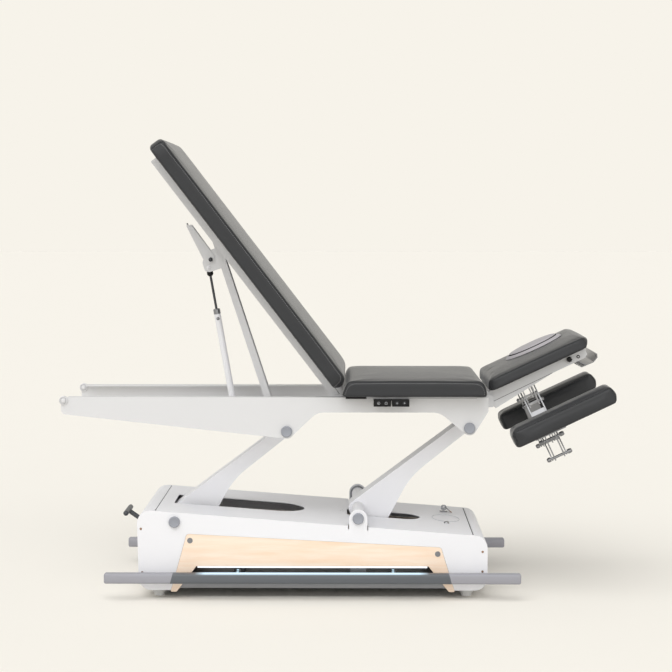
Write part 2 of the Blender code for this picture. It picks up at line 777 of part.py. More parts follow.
def capped_axle(half, inner):
    """An axle with a round cap on each end, outside the plates it passes through."""
    end = inner + CAP_THICK
    return [
        (0.0, end), (CAP_RADIUS - 0.002, end), (CAP_RADIUS, end - 0.002), (CAP_RADIUS, inner),
        (half, inner), (half, -inner), (CAP_RADIUS, -inner), (CAP_RADIUS, -end + 0.002),
        (CAP_RADIUS - 0.002, -end), (0.0, -end),
    ]


def make_lower_axles():
    for name, pivot in (("lower_axle_foot", FOOT_PIVOT), ("lower_axle_head", HEAD_PIVOT)):
        piece(name, turned(capped_axle(AXLE_RADIUS, CAP_INNER), pivot, "Y"), CAP_GREY, ROOT)


def make_foot_bars():
    """Long foot bar on each side, on two arms hinged to the chassis."""
    for side, sign in (("near", -1), ("far", 1)):
        hinge = axis_empty(f"foot_bar_{side}_axis", (0.0, sign * BAR_HINGE_Y, BAR_HINGE_Z), 0.0, ROOT)
        inner = BAR_Y - BAR_WIDTH / 2 - BAR_HINGE_Y
        outer = BAR_Y + BAR_WIDTH / 2 - BAR_HINGE_Y
        bar = box(BAR_X, (inner, outer), (BAR_Z[0] - BAR_HINGE_Z, BAR_Z[1] - BAR_HINGE_Z))
        arms = []
        eyes = []
        bores = []
        for x in BAR_ARM_X:
            span = (x - BAR_ARM / 2, x + BAR_ARM / 2)
            arms.append(box(span, (0.004, inner + 0.004), (-BAR_ARM / 2, BAR_ARM / 2)))
            eyes.append(cylinder(BAR_EYE_RADIUS, (span[0] - 0.0002, span[1] + 0.0002), (0.0, 0.0), "X", 16))
            bores.append(cylinder(BAR_PIN_RADIUS + GAP, (span[0] - 0.01, span[1] + 0.01), (0.0, 0.0), "X", 16))
        meshes = [bar, joined(*arms), joined(*eyes), joined(*bores)]
        if sign < 0:
            meshes = [mirrored(mesh) for mesh in meshes]
        steps = [("UNION", meshes[1]), ("UNION", meshes[2]), ("DIFFERENCE", meshes[3])]
        piece(f"foot_bar_{side}", meshes[0], BAR_GREY, hinge, steps, bevel=0.006)


def make_pedal():
    """T pedal at the foot end on its cross shaft."""
    axis = axis_empty("castor_pedal_axis", (PEDAL_SHAFT[0], 0.0, PEDAL_SHAFT[1]), 0.0, ROOT)
    place = (PEDAL_T[0] - PEDAL_SHAFT[0], PEDAL_T[1] - PEDAL_SHAFT[1])
    half = PEDAL_T_LENGTH / 2
    bar = turned(
        [
            (0.0, half), (PEDAL_T_RADIUS * 0.7, half - 0.002), (PEDAL_T_RADIUS, half - 0.007),
            (PEDAL_T_RADIUS, 0.007 - half), (PEDAL_T_RADIUS * 0.7, 0.002 - half), (0.0, -half),
        ],
        place, "Y", 16,
    )
    stem = rod_between((0.0, 0.0, 0.0), (place[0], 0.0, place[1]), PEDAL_STEM_RADIUS, 16)
    reach = PEDAL_BRACKET_Y + PEDAL_BRACKET_THICK + 0.004
    shaft = cylinder(PEDAL_SHAFT_RADIUS, (-reach, reach), (0.0, 0.0), "Y", 16)
    piece("castor_pedal", bar, SLATE, axis, [("UNION", stem), ("UNION", shaft)])


def crank_place():
    """The crank pin of the head end arm in table coordinates."""
    u = CRANK_LENGTH * math.cos(CRANK_ANGLE)
    n = CRANK_LENGTH * math.sin(CRANK_ANGLE)
    return arm_point(HEAD_PIVOT, u, n)


def make_lift_motor():
    """Linear lift motor: a housing hinged on the chassis and a push rod to the head end arm's crank."""
    crank = crank_place()
    away = Vector((crank[0] - MOTOR_PIVOT[0], crank[1] - MOTOR_PIVOT[1]))
    pitch = -math.atan2(away.y, away.x)
    axis = axis_empty("lift_motor_axis", (MOTOR_PIVOT[0], 0.0, MOTOR_PIVOT[1]), pitch, ROOT)
    eye = cylinder(0.014, (-MOTOR_EYE_HALF, MOTOR_EYE_HALF), (0.0, 0.0), "Y", 20)
    tube = cylinder(TUBE_RADIUS, (0.060, TUBE_END), (0.0, 0.0), "X", 20)
    case = box((0.018, 0.105), (-0.026, 0.026), (-0.026, 0.026))
    neck = box((0.006, 0.025), (-0.012, 0.012), (-0.009, 0.009))
    motor = cylinder(MOTOR_RADIUS, (0.030, 0.190), (0.052, 0.0), "X", 24)
    steps = [
        ("UNION", case),
        ("UNION", neck),
        ("UNION", motor),
        ("UNION", tube),
        ("DIFFERENCE", cylinder(0.006 + GAP, (-0.04, 0.04), (0.0, 0.0), "Y", 16)),
        ("DIFFERENCE", cylinder(ROD_RADIUS + GAP, (0.110, TUBE_END + 0.05), (0.0, 0.0), "X", 20)),
    ]
    piece("lift_motor", eye, SLATE, axis, steps)
    slide = axis_empty("lift_motor_rod_axis", (0.0, 0.0, 0.0), 0.0, axis)
    reach = away.length
    rod = cylinder(ROD_RADIUS, (0.190, reach - 0.008), (0.0, 0.0), "X", 20)
    end = cylinder(ROD_EYE_RADIUS, (-ROD_EYE_HALF, ROD_EYE_HALF), (reach, 0.0), "Y", 20)
    hole = cylinder(0.007, (-0.05, 0.05), (reach, 0.0), "Y", 16)
    piece("lift_motor_rod", rod, CHROME, slide, [("UNION", end), ("DIFFERENCE", hole)])


def fin_edge(u):
    """Lower edge of an arm's fin, past the place where it leaves the straight part."""
    return -ARM_UNDER - (FIN_START - u) * FIN_SLOPE


def arm_outline(crank):
    end = ARM_LENGTH + 0.017
    corners = [
        (-0.029, ARM_TOP, 0.026),
        (end, ARM_TOP_END, 0.005),
        (end, -ARM_UNDER, 0.020),
        (FIN_START, -ARM_UNDER, 0.300),
    ]
    if crank:
        corners += [(-0.004, fin_edge(-0.004), 0.025), (-0.060, -0.112, 0.017)]
    else:
        corners += [(0.045, fin_edge(0.045), 0.030), (-0.030, -0.040, 0.025)]
    return rounded(corners[::-1], 6)


def arm_cavity(crank):
    """Inside of a box section arm, open at its lower end."""
    wall = ARM_WALL
    near_end = ARM_LENGTH - 0.030
    corners = [
        (0.030, ARM_TOP - wall - 0.001, 0.0),
        (near_end, ARM_TOP_END - wall + 0.001, 0.0),
        (near_end, wall - ARM_UNDER, 0.0),
        (FIN_START, wall - ARM_UNDER, 0.300),
    ]
    if crank:
        corners += [(0.012, fin_edge(0.012) + wall, 0.0), (-0.030, -0.200, 0.0), (-0.120, -0.140, 0.0)]
        corners += [(-0.060, -0.034, 0.0)]
    else:
        corners += [(0.060, fin_edge(0.060) + wall, 0.0), (0.020, -0.160, 0.0), (-0.060, -0.090, 0.0)]
        corners += [(-0.026, -0.034, 0.0)]
    return rounded(corners[::-1], 6)


def make_lift_arm(end, pivot, crank):
    """Box section lift arm with the cross tubes that its axles run in."""
    axis = axis_empty(f"lift_arm_{end}_axis", (pivot[0], 0.0, pivot[1]), -ARM_ANGLE, ROOT)
    beam = flat([arm_outline(crank)], (-ARM_HALF_WIDTH, ARM_HALF_WIDTH))
    inner = ARM_HALF_WIDTH - ARM_WALL
    upper = (ARM_LENGTH, 0.0)
    boss = (-ARM_HALF_WIDTH - ARM_BOSS_PROUD, ARM_HALF_WIDTH + ARM_BOSS_PROUD)
    lower = UPRIGHT_INNER - 2 * GAP
    high = RAIL_INNER - 2 * GAP
    bosses = [cylinder(ARM_BOSS_RADIUS, boss, place, sides=BOSS_SIDES) for place in ((0.0, 0.0), upper)]
    steps = [
        ("DIFFERENCE", flat([arm_cavity(crank)], (-inner, inner))),
        ("UNION", joined(*bosses)),
        ("UNION", joined(
            cylinder(ARM_TUBE_RADIUS, (-lower, lower)), cylinder(ARM_TUBE_RADIUS, (-high, high), upper),
        )),
        ("DIFFERENCE", joined(cylinder(BORE, (-THROUGH, THROUGH)), cylinder(BORE, (-THROUGH, THROUGH), upper))),
    ]
    if crank:
        place = (CRANK_LENGTH * math.cos(CRANK_ANGLE), CRANK_LENGTH * math.sin(CRANK_ANGLE))
        stub = cylinder(0.010, (inner - 0.012, inner + 0.001), place, "Y", 16)
        steps.append(("UNION", both_sides(stub)))
    piece(f"lift_arm_{end}", beam, WHITE, axis, steps)
    return axis


def make_control_unit():
    """Control unit inside the head end with its mains inlet in the end cover."""
    floor = PAN_BOTTOM + PAN_THICK + GAP
    case = box(UNIT_X, (UNIT_Y - UNIT_SIZE[0] / 2, UNIT_Y + UNIT_SIZE[0] / 2), (floor, floor + UNIT_SIZE[1]))
    z = inlet_height()
    wide, high = INLET_SIZE[0] / 2, INLET_SIZE[1] / 2
    nose_end = BASE_HEAD_X + 0.0015
    nose = box((UNIT_X[1] - 0.004, nose_end), (UNIT_Y - wide, UNIT_Y + wide), (z - high, z + high))
    wide -= INLET_WALL
    high -= INLET_WALL
    socket = box((nose_end - INLET_DEPTH, nose_end + 0.01), (UNIT_Y - wide, UNIT_Y + wide), (z - high, z + high))
    piece("control_unit", case, BLACK, ROOT, [("UNION", nose), ("DIFFERENCE", socket)])


def make_key_lock(seam):
    """Lock barrel in the top plate, and the key that turns in it."""
    x = (LOCK_X - SEAM_FOOT_X) / math.cos(TOP_SLOPE)
    profile = [
        (0.0, 0.004), (LOCK_RADIUS + 0.002, 0.004), (LOCK_RADIUS + 0.003, 0.003), (LOCK_RADIUS + 0.003, GAP),
        (LOCK_RADIUS, GAP), (LOCK_RADIUS, -0.022), (0.0, -0.022),
    ]
    barrel = turned(profile, (x, LOCK_Y), "Z", 20)
    keyway = box((x - 0.005, x + 0.005), (LOCK_Y - 0.0016, LOCK_Y + 0.0016), (-0.010, 0.010))
    piece("key_lock", barrel, CHROME, seam, [("DIFFERENCE", keyway)])
    axis = axis_empty("safety_key_axis", (x, LOCK_Y, 0.0), 0.0, seam)
    wide, thick, tall = KEY_SIZE
    blade = box((-0.004, 0.004), (-thick / 2, thick / 2), (-0.008, 0.010))
    bow = flat(
        [rounded([
            (-wide / 2, 0.007, 0.004), (wide / 2, 0.007, 0.004), (wide / 2, tall, 0.009), (-wide / 2, tall, 0.009),
        ], 4), circle((0.0, tall - 0.007), 0.003, 10)],
        (-thick / 2 - 0.0003, thick / 2 + 0.0003),
    )
    piece("safety_key", bow, CHROME, axis, [("UNION", blade)])


def rail_shape():
    """Side rail of the upper frame, with a lobe round each upper pivot."""
    angle = math.degrees(math.atan2(RAIL_FOOT_LOW[1] - FOOT_UPPER[1] + LOBE_RADIUS, FOOT_UPPER[0] - RAIL_FOOT_LOW[0]))
    corners = [
        (RAIL_FOOT_X, RAIL_TOP, 0.004),
        (RAIL_FOOT_X, RAIL_FOOT_LOW[1] + 0.002, 0.015),
        *[(*p, 0.0) for p in arc(FOOT_UPPER, LOBE_RADIUS, -90 - angle, -47, 7)],
        (FOOT_UPPER[0] + 0.108, RAIL_MID_LOW, 0.060),
        (HEAD_UPPER[0] - 0.105, RAIL_MID_LOW, 0.070),
        *[(*p, 0.0) for p in arc(HEAD_UPPER, LOBE_RADIUS, -132, -28, 8)],
        (RAIL_HEAD_X, RAIL_HEAD_LOW, 0.010),
        (RAIL_HEAD_X, RAIL_TOP, 0.004),
    ]
    holes = [
        circle(FOOT_UPPER, BORE), circle(HEAD_UPPER, BORE),
    ]
    return flat([rounded(corners)] + holes, (RAIL_INNER, RAIL_HALF_WIDTH))


def make_rails(frame):
    """Two side rails with a top flange and a round boss at the foot end."""
    flange = box(
        (RAIL_FOOT_X + 0.022, RAIL_HEAD_X - 0.003),
        (RAIL_HALF_WIDTH - FLANGE_WIDTH, RAIL_HALF_WIDTH - 0.002),
        (RAIL_TOP - 0.0005 - RAIL_SHEET, RAIL_TOP - 0.0005),
    )
    low = RAIL_INNER - END_BOSS_PROUD
    high = RAIL_HALF_WIDTH + END_BOSS_PROUD
    boss = turned([
        (0.0, high + 0.004), (END_BOLT_RADIUS * 0.6, high + 0.004), (END_BOLT_RADIUS, high + 0.002),
        (END_BOLT_RADIUS, high - 0.003), (END_BOSS_RADIUS - 0.003, high - 0.003),
        (END_BOSS_RADIUS - 0.003, high), (END_BOSS_RADIUS, high - 0.002), (END_BOSS_RADIUS, low + 0.002),
        (END_BOSS_RADIUS - 0.003, low), (END_BOSS_RADIUS - 0.003, low + 0.003), (END_BOLT_RADIUS, low + 0.003),
        (END_BOLT_RADIUS, low - 0.002), (END_BOLT_RADIUS * 0.6, low - 0.004), (0.0, low - 0.004),
    ], END_BOSS, "Y", 20)
    rail = rail_shape()
    for side in ("far", "near"):
        meshes = [rail, flange, boss]
        if side == "near":
            meshes = [mirrored(mesh) for mesh in meshes]
        steps = [("UNION", meshes[1]), ("UNION", meshes[2])]
        piece(f"rail_{side}", meshes[0], LIGHT_GREY, frame, steps)


def make_upper_axles(frame):
    inner = RAIL_HALF_WIDTH + GAP
    for name, pivot in (("upper_axle_foot", FOOT_UPPER), ("upper_axle_head", HEAD_UPPER)):
        piece(name, turned(capped_axle(AXLE_RADIUS, inner), pivot, "Y"), CAP_GREY, frame)
    half = RAIL_INNER - GAP
    for name, pivot in (("support_arm_axle", PROP_PIVOT), ("gas_spring_axle", SPRING_PIVOT)):
        piece(name, cylinder(PROP_AXLE_RADIUS, (-half, half), pivot, "Y", 16), ZINC, frame)


def hinge_plate(hinge, reach, span, low):
    """Hinge plate of the seat subframe, from a cross member round to a hinge pin."""
    top = hinge[1] + 0.0115
    if reach > hinge[0]:
        corners = [(hinge[0] - 0.012, low), (reach, low), (reach, RAIL_TOP - 0.002)]
        corners += [(hinge[0] + 0.026, RAIL_TOP - 0.002), (hinge[0] + 0.020, top, 0.003)]
        corners += [(hinge[0] - 0.012, top, 0.010)]
    else:
        corners = [(reach, low), (hinge[0] + 0.012, low, 0.006), (hinge[0] + 0.012, top, 0.010)]
        corners += [(hinge[0] - 0.020, top, 0.003), (hinge[0] - 0.026, RAIL_TOP - 0.002)]
        corners += [(reach, RAIL_TOP - 0.002)]
    return flat([rounded(corners)], span)


def make_subframe(frame):
    """Seat subframe: two cross members, two long members and the hinge plates with their pins."""
    half = RAIL_INNER - GAP
    low = RAIL_TOP - MEMBER_DROP[0]
    high = RAIL_TOP - MEMBER_DROP[1]
    section_x = (SECTION_HINGE[0] + 0.020, SECTION_HINGE[0] + 0.050)
    head_x = (HEAD_HINGE[0] - 0.052, HEAD_HINGE[0] - 0.026)
    cross = box(section_x, (-half, half), (low, high))
    head_cross = box(head_x, (-half, half), (low, high))
    long_member = box((section_x[1] - 0.005, head_x[0] + 0.005), (0.115, 0.140), (low + 0.001, high - 0.001))
    section_span = (SECTION_BAR_Y[1] + 0.002, SECTION_BAR_Y[1] + 0.002 + HINGE_PLATE)
    head_span = (HEAD_BAR_Y[1] + 0.002, HEAD_BAR_Y[1] + 0.002 + HINGE_PLATE)
    plates = joined(
        hinge_plate(SECTION_HINGE, section_x[1] - 0.004, section_span, low + 0.004),
        hinge_plate(HEAD_HINGE, head_x[0] + 0.004, head_span, low + 0.004),
    )
    pins = joined(
        cylinder(HINGE_PIN_RADIUS, (SECTION_BAR_Y[0] - 0.004, section_span[1] - 0.002), SECTION_HINGE, "Y", 16),
        cylinder(HINGE_PIN_RADIUS, (HEAD_BAR_Y[0] - 0.004, head_span[1] - 0.002), HEAD_HINGE, "Y", 16),
    )
    steps = [
        ("UNION", both_sides(long_member)),
        ("UNION", head_cross),
        ("UNION", both_sides(plates)),
        ("UNION", both_sides(pins)),
    ]
    piece("seat_subframe", cross, LIGHT_GREY, frame, steps)


def crown(sides, bottom, top, drop, reach):
    """Cuts a cushion's top to a shallow arch from side to side, with soft edges."""
    middle = (sides[0] + sides[1]) / 2
    half = (sides[1] - sides[0]) / 2
    arch = [
        (middle + half * share, top - drop * share ** 2, EDGE_RADIUS if abs(share) == 1.0 else 0.0)
        for share in (1.0, 0.75, 0.5, 0.25, 0.0, -0.25, -0.5, -0.75, -1.0)
    ]
    outline = rounded([(sides[0], bottom, 0.004), (sides[1], bottom, 0.004)] + arch, 4)
    return ("INTERSECT", flat([outline], reach, "YZ"))


def plan(ends, sides, height, radius):
    """Rounds a cushion's corners as seen from above."""
    outline = rounded([
        (ends[0], sides[0], radius), (ends[1], sides[0], radius), (ends[1], sides[1], radius),
        (ends[0], sides[1], radius),
    ], 5)
    return ("INTERSECT", flat([outline], height, "XY"))


def soft_shape(corners, sides, top, drop, radius):
    """A cushion's side profile across its width, and the steps that crown it and round its corners."""
    ends = (min(corner[0] for corner in corners), max(corner[0] for corner in corners))
    bottom = min(corner[1] for corner in corners)
    wide = (sides[0] - 0.01, sides[1] + 0.01)
    steps = [
        crown(sides, bottom, top, drop, (ends[0] - 0.01, ends[1] + 0.01)),
        plan((ends[0] - 0.0001, ends[1] + 0.0001), (sides[0] - 0.0001, sides[1] + 0.0001), (bottom - 0.01, top + 0.01), radius),
    ]
    return flat([rounded(corners, 6)], wide), steps


def make_seat(frame):
    """Seat board on the rails and the seat cushion on it."""
    low = RAIL_TOP + GAP
    top = low + BOARD_THICK
    board = box(SEAT_BOARD_X, (-SEAT_BOARD_HALF, SEAT_BOARD_HALF), (low, top))
    piece("seat_board", board, BOARD, frame)
    bottom = top + GAP
    high = bottom + SEAT_THICK
    cushion, steps = soft_shape([
        (SEAT_X[0], bottom, 0.006), (SEAT_X[1], bottom, 0.006), (SEAT_X[1] - 0.008, high - 0.004, 0.048),
        (SEAT_X[1] - 0.180, high, 0.0), (SEAT_X[0] + 0.180, high, 0.0), (SEAT_X[0] + 0.026, high - 0.004, 0.038),
    ], (-CUSHION_HALF_WIDTH, CUSHION_HALF_WIDTH), high + 0.0005, SEAT_CROWN, SEAT_CORNER)
    piece("seat_cushion", cushion, VINYL, frame, steps)


def button_places():
    """Centres of the four buttons along the table, two on each control box."""
    left = (BOX_X[0] + BOX_X[1]) / 2
    right = (BOX_X[2] + BOX_X[3]) / 2
    half = BUTTON_PITCH / 2
    return [left - half, left + half, right - half, right + half]


def make_control_boxes(frame):
    """Two small control boxes on one bracket under the seat board, with sprung buttons."""
    top = RAIL_TOP
    low = top - BOX_HEIGHT
    depth = (BOX_Y[0], BOX_Y[1])
    middle = top - BOX_HEIGHT * 0.52
    left = box((BOX_X[0], BOX_X[1]), depth, (low, top))
    right = box((BOX_X[2], BOX_X[3]), depth, (low, top))
    bridge = box((BOX_X[1] - 0.01, BOX_X[2] + 0.01), (depth[1] - 0.012, depth[1] - 0.002), (top - 0.008, top - 0.001))
    front = BOX_Y[0]
    pockets = joined(*[
        cylinder(BUTTON_RADIUS + GAP, (front - 0.01, front + BUTTON_DEPTH + 0.002), (x, middle), "Y", 16)
        for x in button_places()
    ])
    steps = [("UNION", right), ("UNION", bridge), ("DIFFERENCE", pockets)]
    piece("control_boxes", left, BLACK, frame, steps)
    names = ("button_light", "button_memory", "button_up", "button_down")
    for name, x in zip(names, button_places()):
        axis = axis_empty(f"{name}_axis", (x, front, middle), 0.0, frame)
        profile = [
            (0.0, BUTTON_DEPTH), (BUTTON_RADIUS, BUTTON_DEPTH), (BUTTON_RADIUS, 0.0008 - BUTTON_PROUD),
            (BUTTON_RADIUS * 0.7, -BUTTON_PROUD), (0.0, -BUTTON_PROUD),
        ]
        piece(name, turned(profile, (0.0, 0.0), "Y", 16), SLATE, axis)


def section_bar(end, low, high, radius):
    """Outline of a hinged side bar, along -X from its hinge."""
    outline = [(-end, low), *arc((0.0, (low + high) / 2), radius, -90, 90, 6), (-end, high)]
    return outline


def make_long_section(frame):
    """Raised long section: a welded frame with a roller guide, and its cushion."""
    axis = axis_empty("long_section_axis", (SECTION_HINGE[0], 0.0, SECTION_HINGE[1]), SECTION_ANGLE, frame)
    low, high = SECTION_BAR_N
    radius = (high - low) / 2
    bar = flat([section_bar(SECTION_FRAME_END, low, high, radius)], SECTION_BAR_Y)
    reach = SECTION_BAR_Y[0] + 0.004
    thin = (low + 0.002, high - 0.002)
    places = (SECTION_CUSHION[0] + 0.130, GUIDE_U[0] - 0.020, GUIDE_U[1] + 0.020)
    crossbars = [box((-u - 0.015, -u + 0.015), (-reach, reach), thin) for u in places]
    guide = box((-GUIDE_U[1] - 0.03, -GUIDE_U[0] + 0.03), GUIDE_Y, (GUIDE_N, high - 0.004))
    steps = [
        ("UNION", mirrored(bar)),
        ("UNION", joined(*crossbars[:1])),
        ("UNION", joined(*crossbars[1:])),
        ("UNION", both_sides(guide)),
        ("DIFFERENCE", cylinder(HINGE_PIN_RADIUS + GAP, (-0.2, 0.2), (0.0, 0.0), "Y", 16)),
    ]
    piece("long_section_frame", bar, LIGHT_GREY, axis, steps)
    bottom = high + GAP + 0.003
    top = bottom + SECTION_THICK
    start, end = SECTION_CUSHION
    cushion, steps = soft_shape([
        (-end, bottom, 0.010), (-start, bottom, 0.020), (-start - 0.010, top - 0.006, 0.038),
        (-start - 0.150, top, 0.0), (-end + 0.150, top, 0.0), (-end, top - 0.006, 0.022),
    ], (-CUSHION_HALF_WIDTH, CUSHION_HALF_WIDTH), top + 0.0005, SECTION_CROWN, SECTION_CORNER)
    board = box((-SECTION_FRAME_END, -0.050), (-SECTION_BAR_Y[1], SECTION_BAR_Y[1]), (high + GAP, bottom + 0.002))
    piece("long_section_cushion", cushion, VINYL, axis, [*steps, ("UNION", board)])
    return axis


def make_support_arm(frame):
    """Channel section arm under the long section, with its roller and the lever bracket."""
    axis = axis_empty("support_arm_axis", (PROP_PIVOT[0], 0.0, PROP_PIVOT[1]), PROP_ANGLE, frame)
    half = PROP_HALF_WIDTH
    depth = PROP_DEPTH
    channel = box((-PROP_LENGTH - 0.012, 0.016), (-half, half), (-depth, depth))
    inner = half - PROP_SHEET
    hollow = box((-PROP_LENGTH - 0.02, 0.03), (-inner, inner), (PROP_SHEET - depth, depth + 0.02))
    bore = cylinder(PROP_AXLE_RADIUS + GAP, (-0.05, 0.05), (0.0, 0.0), "Y", 16)
    roller = cylinder(ROLLER_RADIUS, (-inner - 0.001, inner + 0.001), (-PROP_LENGTH, 0.0), "Y", 16)
    start = 0.106 - PROP_LENGTH
    plate = flat([rounded([
        (start, -0.009), (start, -0.058, 0.008), (start - 0.008, -0.073, 0.008), (start - 0.040, -0.073, 0.008),
        (start - 0.076, -0.050, 0.006), (start - 0.076, -0.009),
    ], 3)], BRACKET_Y)
    bolt = cylinder(
        LEVER_BOLT_RADIUS, (BRACKET_Y[0] - 0.003, BRACKET_Y[1] + 0.008), (-LEVER_BOLT[0], LEVER_BOLT[1]), "Y", 12
    )
    steps = [
        ("DIFFERENCE", hollow),
        ("DIFFERENCE", bore),
        ("UNION", roller),
        ("UNION", both_sides(plate)),
        ("UNION", both_sides(bolt)),
    ]
    piece("support_arm", channel, LIGHT_GREY, axis, steps)
    return axis


def make_release_lever(arm_axis):
    """Tapered lever of folded sheet on the bracket bolt, with a bent grip at its tip."""
    bolt = (-LEVER_BOLT[0], LEVER_BOLT[1])
    axis = axis_empty("release_lever_axis", (bolt[0], 0.0, bolt[1]), 0.0, arm_axis)
    tip = (-LEVER_TIP[0] - bolt[0], LEVER_TIP[1] - bolt[1])
    span = (BRACKET_Y[1] + 0.0006, BRACKET_Y[1] + 0.0006 + LEVER_SHEET)
    cheek = flat([rounded([
        (0.013, -0.016, 0.010), (0.012, 0.013, 0.010), (-0.010, 0.016, 0.008),
        (tip[0], tip[1] + 0.009, 0.004), (tip[0] - 0.002, tip[1] - 0.009, 0.004), (-0.012, -0.026, 0.010),
    ], 3)], span)
    grip = box((tip[0] - 0.010, tip[0] + 0.002), (-span[1] + 0.0005, span[1] - 0.0005), (tip[1] - 0.007, tip[1] - 0.004))
    web = box((tip[0] + 0.004, tip[0] + 0.060), (-span[1] + 0.0005, span[1] - 0.0005), (tip[1] + 0.003, tip[1] + 0.006))
    steps = [
        ("UNION", mirrored(cheek)),
        ("UNION", web),
        ("UNION", grip),
        ("DIFFERENCE", cylinder(LEVER_BOLT_RADIUS + GAP, (-0.05, 0.05), (0.0, 0.0), "Y", 16)),
    ]
    piece("release_lever", cheek, LIGHT_GREY, axis, steps)


def spring_eye():
    """The gas spring's upper eye in table coordinates."""
    cos, sin = math.cos(PROP_ANGLE), math.sin(PROP_ANGLE)
    return (
        PROP_PIVOT[0] - SPRING_EYE_S * cos + SPRING_EYE_N * sin,
        PROP_PIVOT[1] + SPRING_EYE_S * sin + SPRING_EYE_N * cos,
    )


def make_gas_spring(frame):
    """Gas spring from the frame to the support arm's bracket."""
    eye = spring_eye()
    away = Vector((eye[0] - SPRING_PIVOT[0], eye[1] - SPRING_PIVOT[1]))
    pitch = math.atan2(away.x, away.y)
    axis = axis_empty("gas_spring_axis", (SPRING_PIVOT[0], 0.0, SPRING_PIVOT[1]), pitch, frame)
    tube = cylinder(SPRING_TUBE_RADIUS, (0.012, SPRING_TUBE_END), (0.0, 0.0), "Z", 20)
    lug = cylinder(0.016, (-0.010, 0.010), (0.0, 0.0), "Y", 20)
    steps = [
        ("UNION", lug),
        ("DIFFERENCE", cylinder(PROP_AXLE_RADIUS + GAP, (-0.03, 0.03), (0.0, 0.0), "Y", 16)),
        ("DIFFERENCE", cylinder(SPRING_ROD_RADIUS + GAP, (0.150, SPRING_TUBE_END + 0.02), (0.0, 0.0), "Z", 16)),
    ]
    piece("gas_spring_cylinder", tube, WHITE, axis, steps)
    slide = axis_empty("gas_spring_rod_axis", (0.0, 0.0, 0.0), 0.0, axis)
    reach = away.length
    rod = cylinder(SPRING_ROD_RADIUS, (0.270, reach - 0.006), (0.0, 0.0), "Z", 16)
    head = cylinder(0.009, (-0.007, 0.007), (0.0, reach), "Y", 16)
    collar = cylinder(0.0095, (reach - 0.024, reach - 0.014), (0.0, 0.0), "Z", 16)
    piece("gas_spring_rod", rod, SLATE, slide, [("UNION", collar), ("UNION", head)])


def head_bar():
    """Side bar of the head frame with the deeper gusset at its hinge end."""
    low, high = HEAD_BAR_N
    corners = [
        (-0.010, high, 0.008), (-0.012, -0.010, 0.006), (0.003, -0.042, 0.002), (0.240, low - 0.001, 0.0),
        (HEAD_BAR_END - 0.012, low, 0.003), (HEAD_BAR_END, low + 0.009, 0.004), (HEAD_BAR_END, high, 0.003),
    ]
    return flat([rounded(corners, 4)], HEAD_BAR_Y)


def make_head_frame(head):
    """Head frame: side bars, cross plates and the hanger plates that carry the armrests."""
    low, high = HEAD_BAR_N
    reach = HEAD_BAR_Y[0] + 0.004
    bar = head_bar()
    front = box((0.030, 0.060), (-reach, reach), (low + 0.002, low + 0.012))
    back = box((0.345, 0.370), (-reach, reach), (low + 0.012, low + 0.022))
    hanger_low = REST_A[1] - 0.012
    cross = box((REST_U[0] - 0.004, REST_U[1] + 0.004), (REST_Y - 0.014, reach), (low + 0.001, low + 0.008))
    plates = [
        box((u, u + LINK_THICK), (REST_Y - 0.013, REST_Y + 0.013), (hanger_low, low + 0.004)) for u in PLATE_U
    ]
    pin_span = (REST_U[0] - 0.006, REST_U[1] + 0.006)
    pins = [cylinder(REST_PIN_RADIUS, pin_span, (REST_Y, n), "X", 16) for n in REST_A]
    steps = [
        ("UNION", mirrored(bar)),
        ("UNION", joined(front, back)),
        ("UNION", both_sides(cross)),
        ("UNION", both_sides(joined(*plates))),
        ("UNION", both_sides(joined(*pins))),
        ("DIFFERENCE", cylinder(HINGE_PIN_RADIUS + GAP, (-0.25, 0.25), (0.0, 0.0), "Y", 16)),
    ]
    piece("head_frame", bar, LIGHT_GREY, head, steps)


def face_outline(grow, steps=32):
    """The face opening: an oval in the cushion's plane."""
    return [
        (
            FACE_CENTRE + (FACE_HALF[0] + grow) * math.cos(2 * math.pi * step / steps),
            (FACE_HALF[1] + grow) * math.sin(2 * math.pi * step / steps),
        )
        for step in range(steps)
    ]


def make_head_cushion(head):
    """Head cushion with its face opening, and the plug that fills it."""
    bottom = HEAD_BAR_N[1] + GAP
    top = bottom + HEAD_THICK
    start, end = HEAD_CUSHION
    cushion, steps = soft_shape([
        (start, bottom, 0.012), (end - 0.022, bottom, 0.010), (end, bottom + 0.016, 0.008),
        (end - 0.001, bottom + 0.032, 0.008), (end - 0.034, top - 0.003, 0.026),
        (end - 0.130, top, 0.0), (start + 0.130, top, 0.0), (start + 0.012, top - 0.005, 0.036),
    ], (-HEAD_CUSHION_HALF, HEAD_CUSHION_HALF), top + 0.0005, HEAD_CROWN, HEAD_CORNER)
    hole = flat([face_outline(0.0)], (bottom - 0.02, top + 0.02), "XY")
    piece("head_cushion", cushion, VINYL, head, [*steps, ("DIFFERENCE", hole)])
    axis = axis_empty("face_plug_axis", (FACE_CENTRE, 0.0, top), 0.0, head)
    body = flat([face_outline(-0.0012)], (top - PLUG_DEPTH, top + 0.002), "XY")
    rim = flat([face_outline(PLUG_RIM)], (top + GAP, top + 0.004), "XY")
    dome = flat([face_outline(-0.012)], (top - 0.002, top + PLUG_DOME), "XY")
    for mesh in (body, rim, dome):
        mesh.transform(Matrix.Translation((-FACE_CENTRE, 0.0, -top)))
    piece("face_hole_plug", body, PLUG_GREY, axis, [("UNION", rim), ("UNION", dome)])


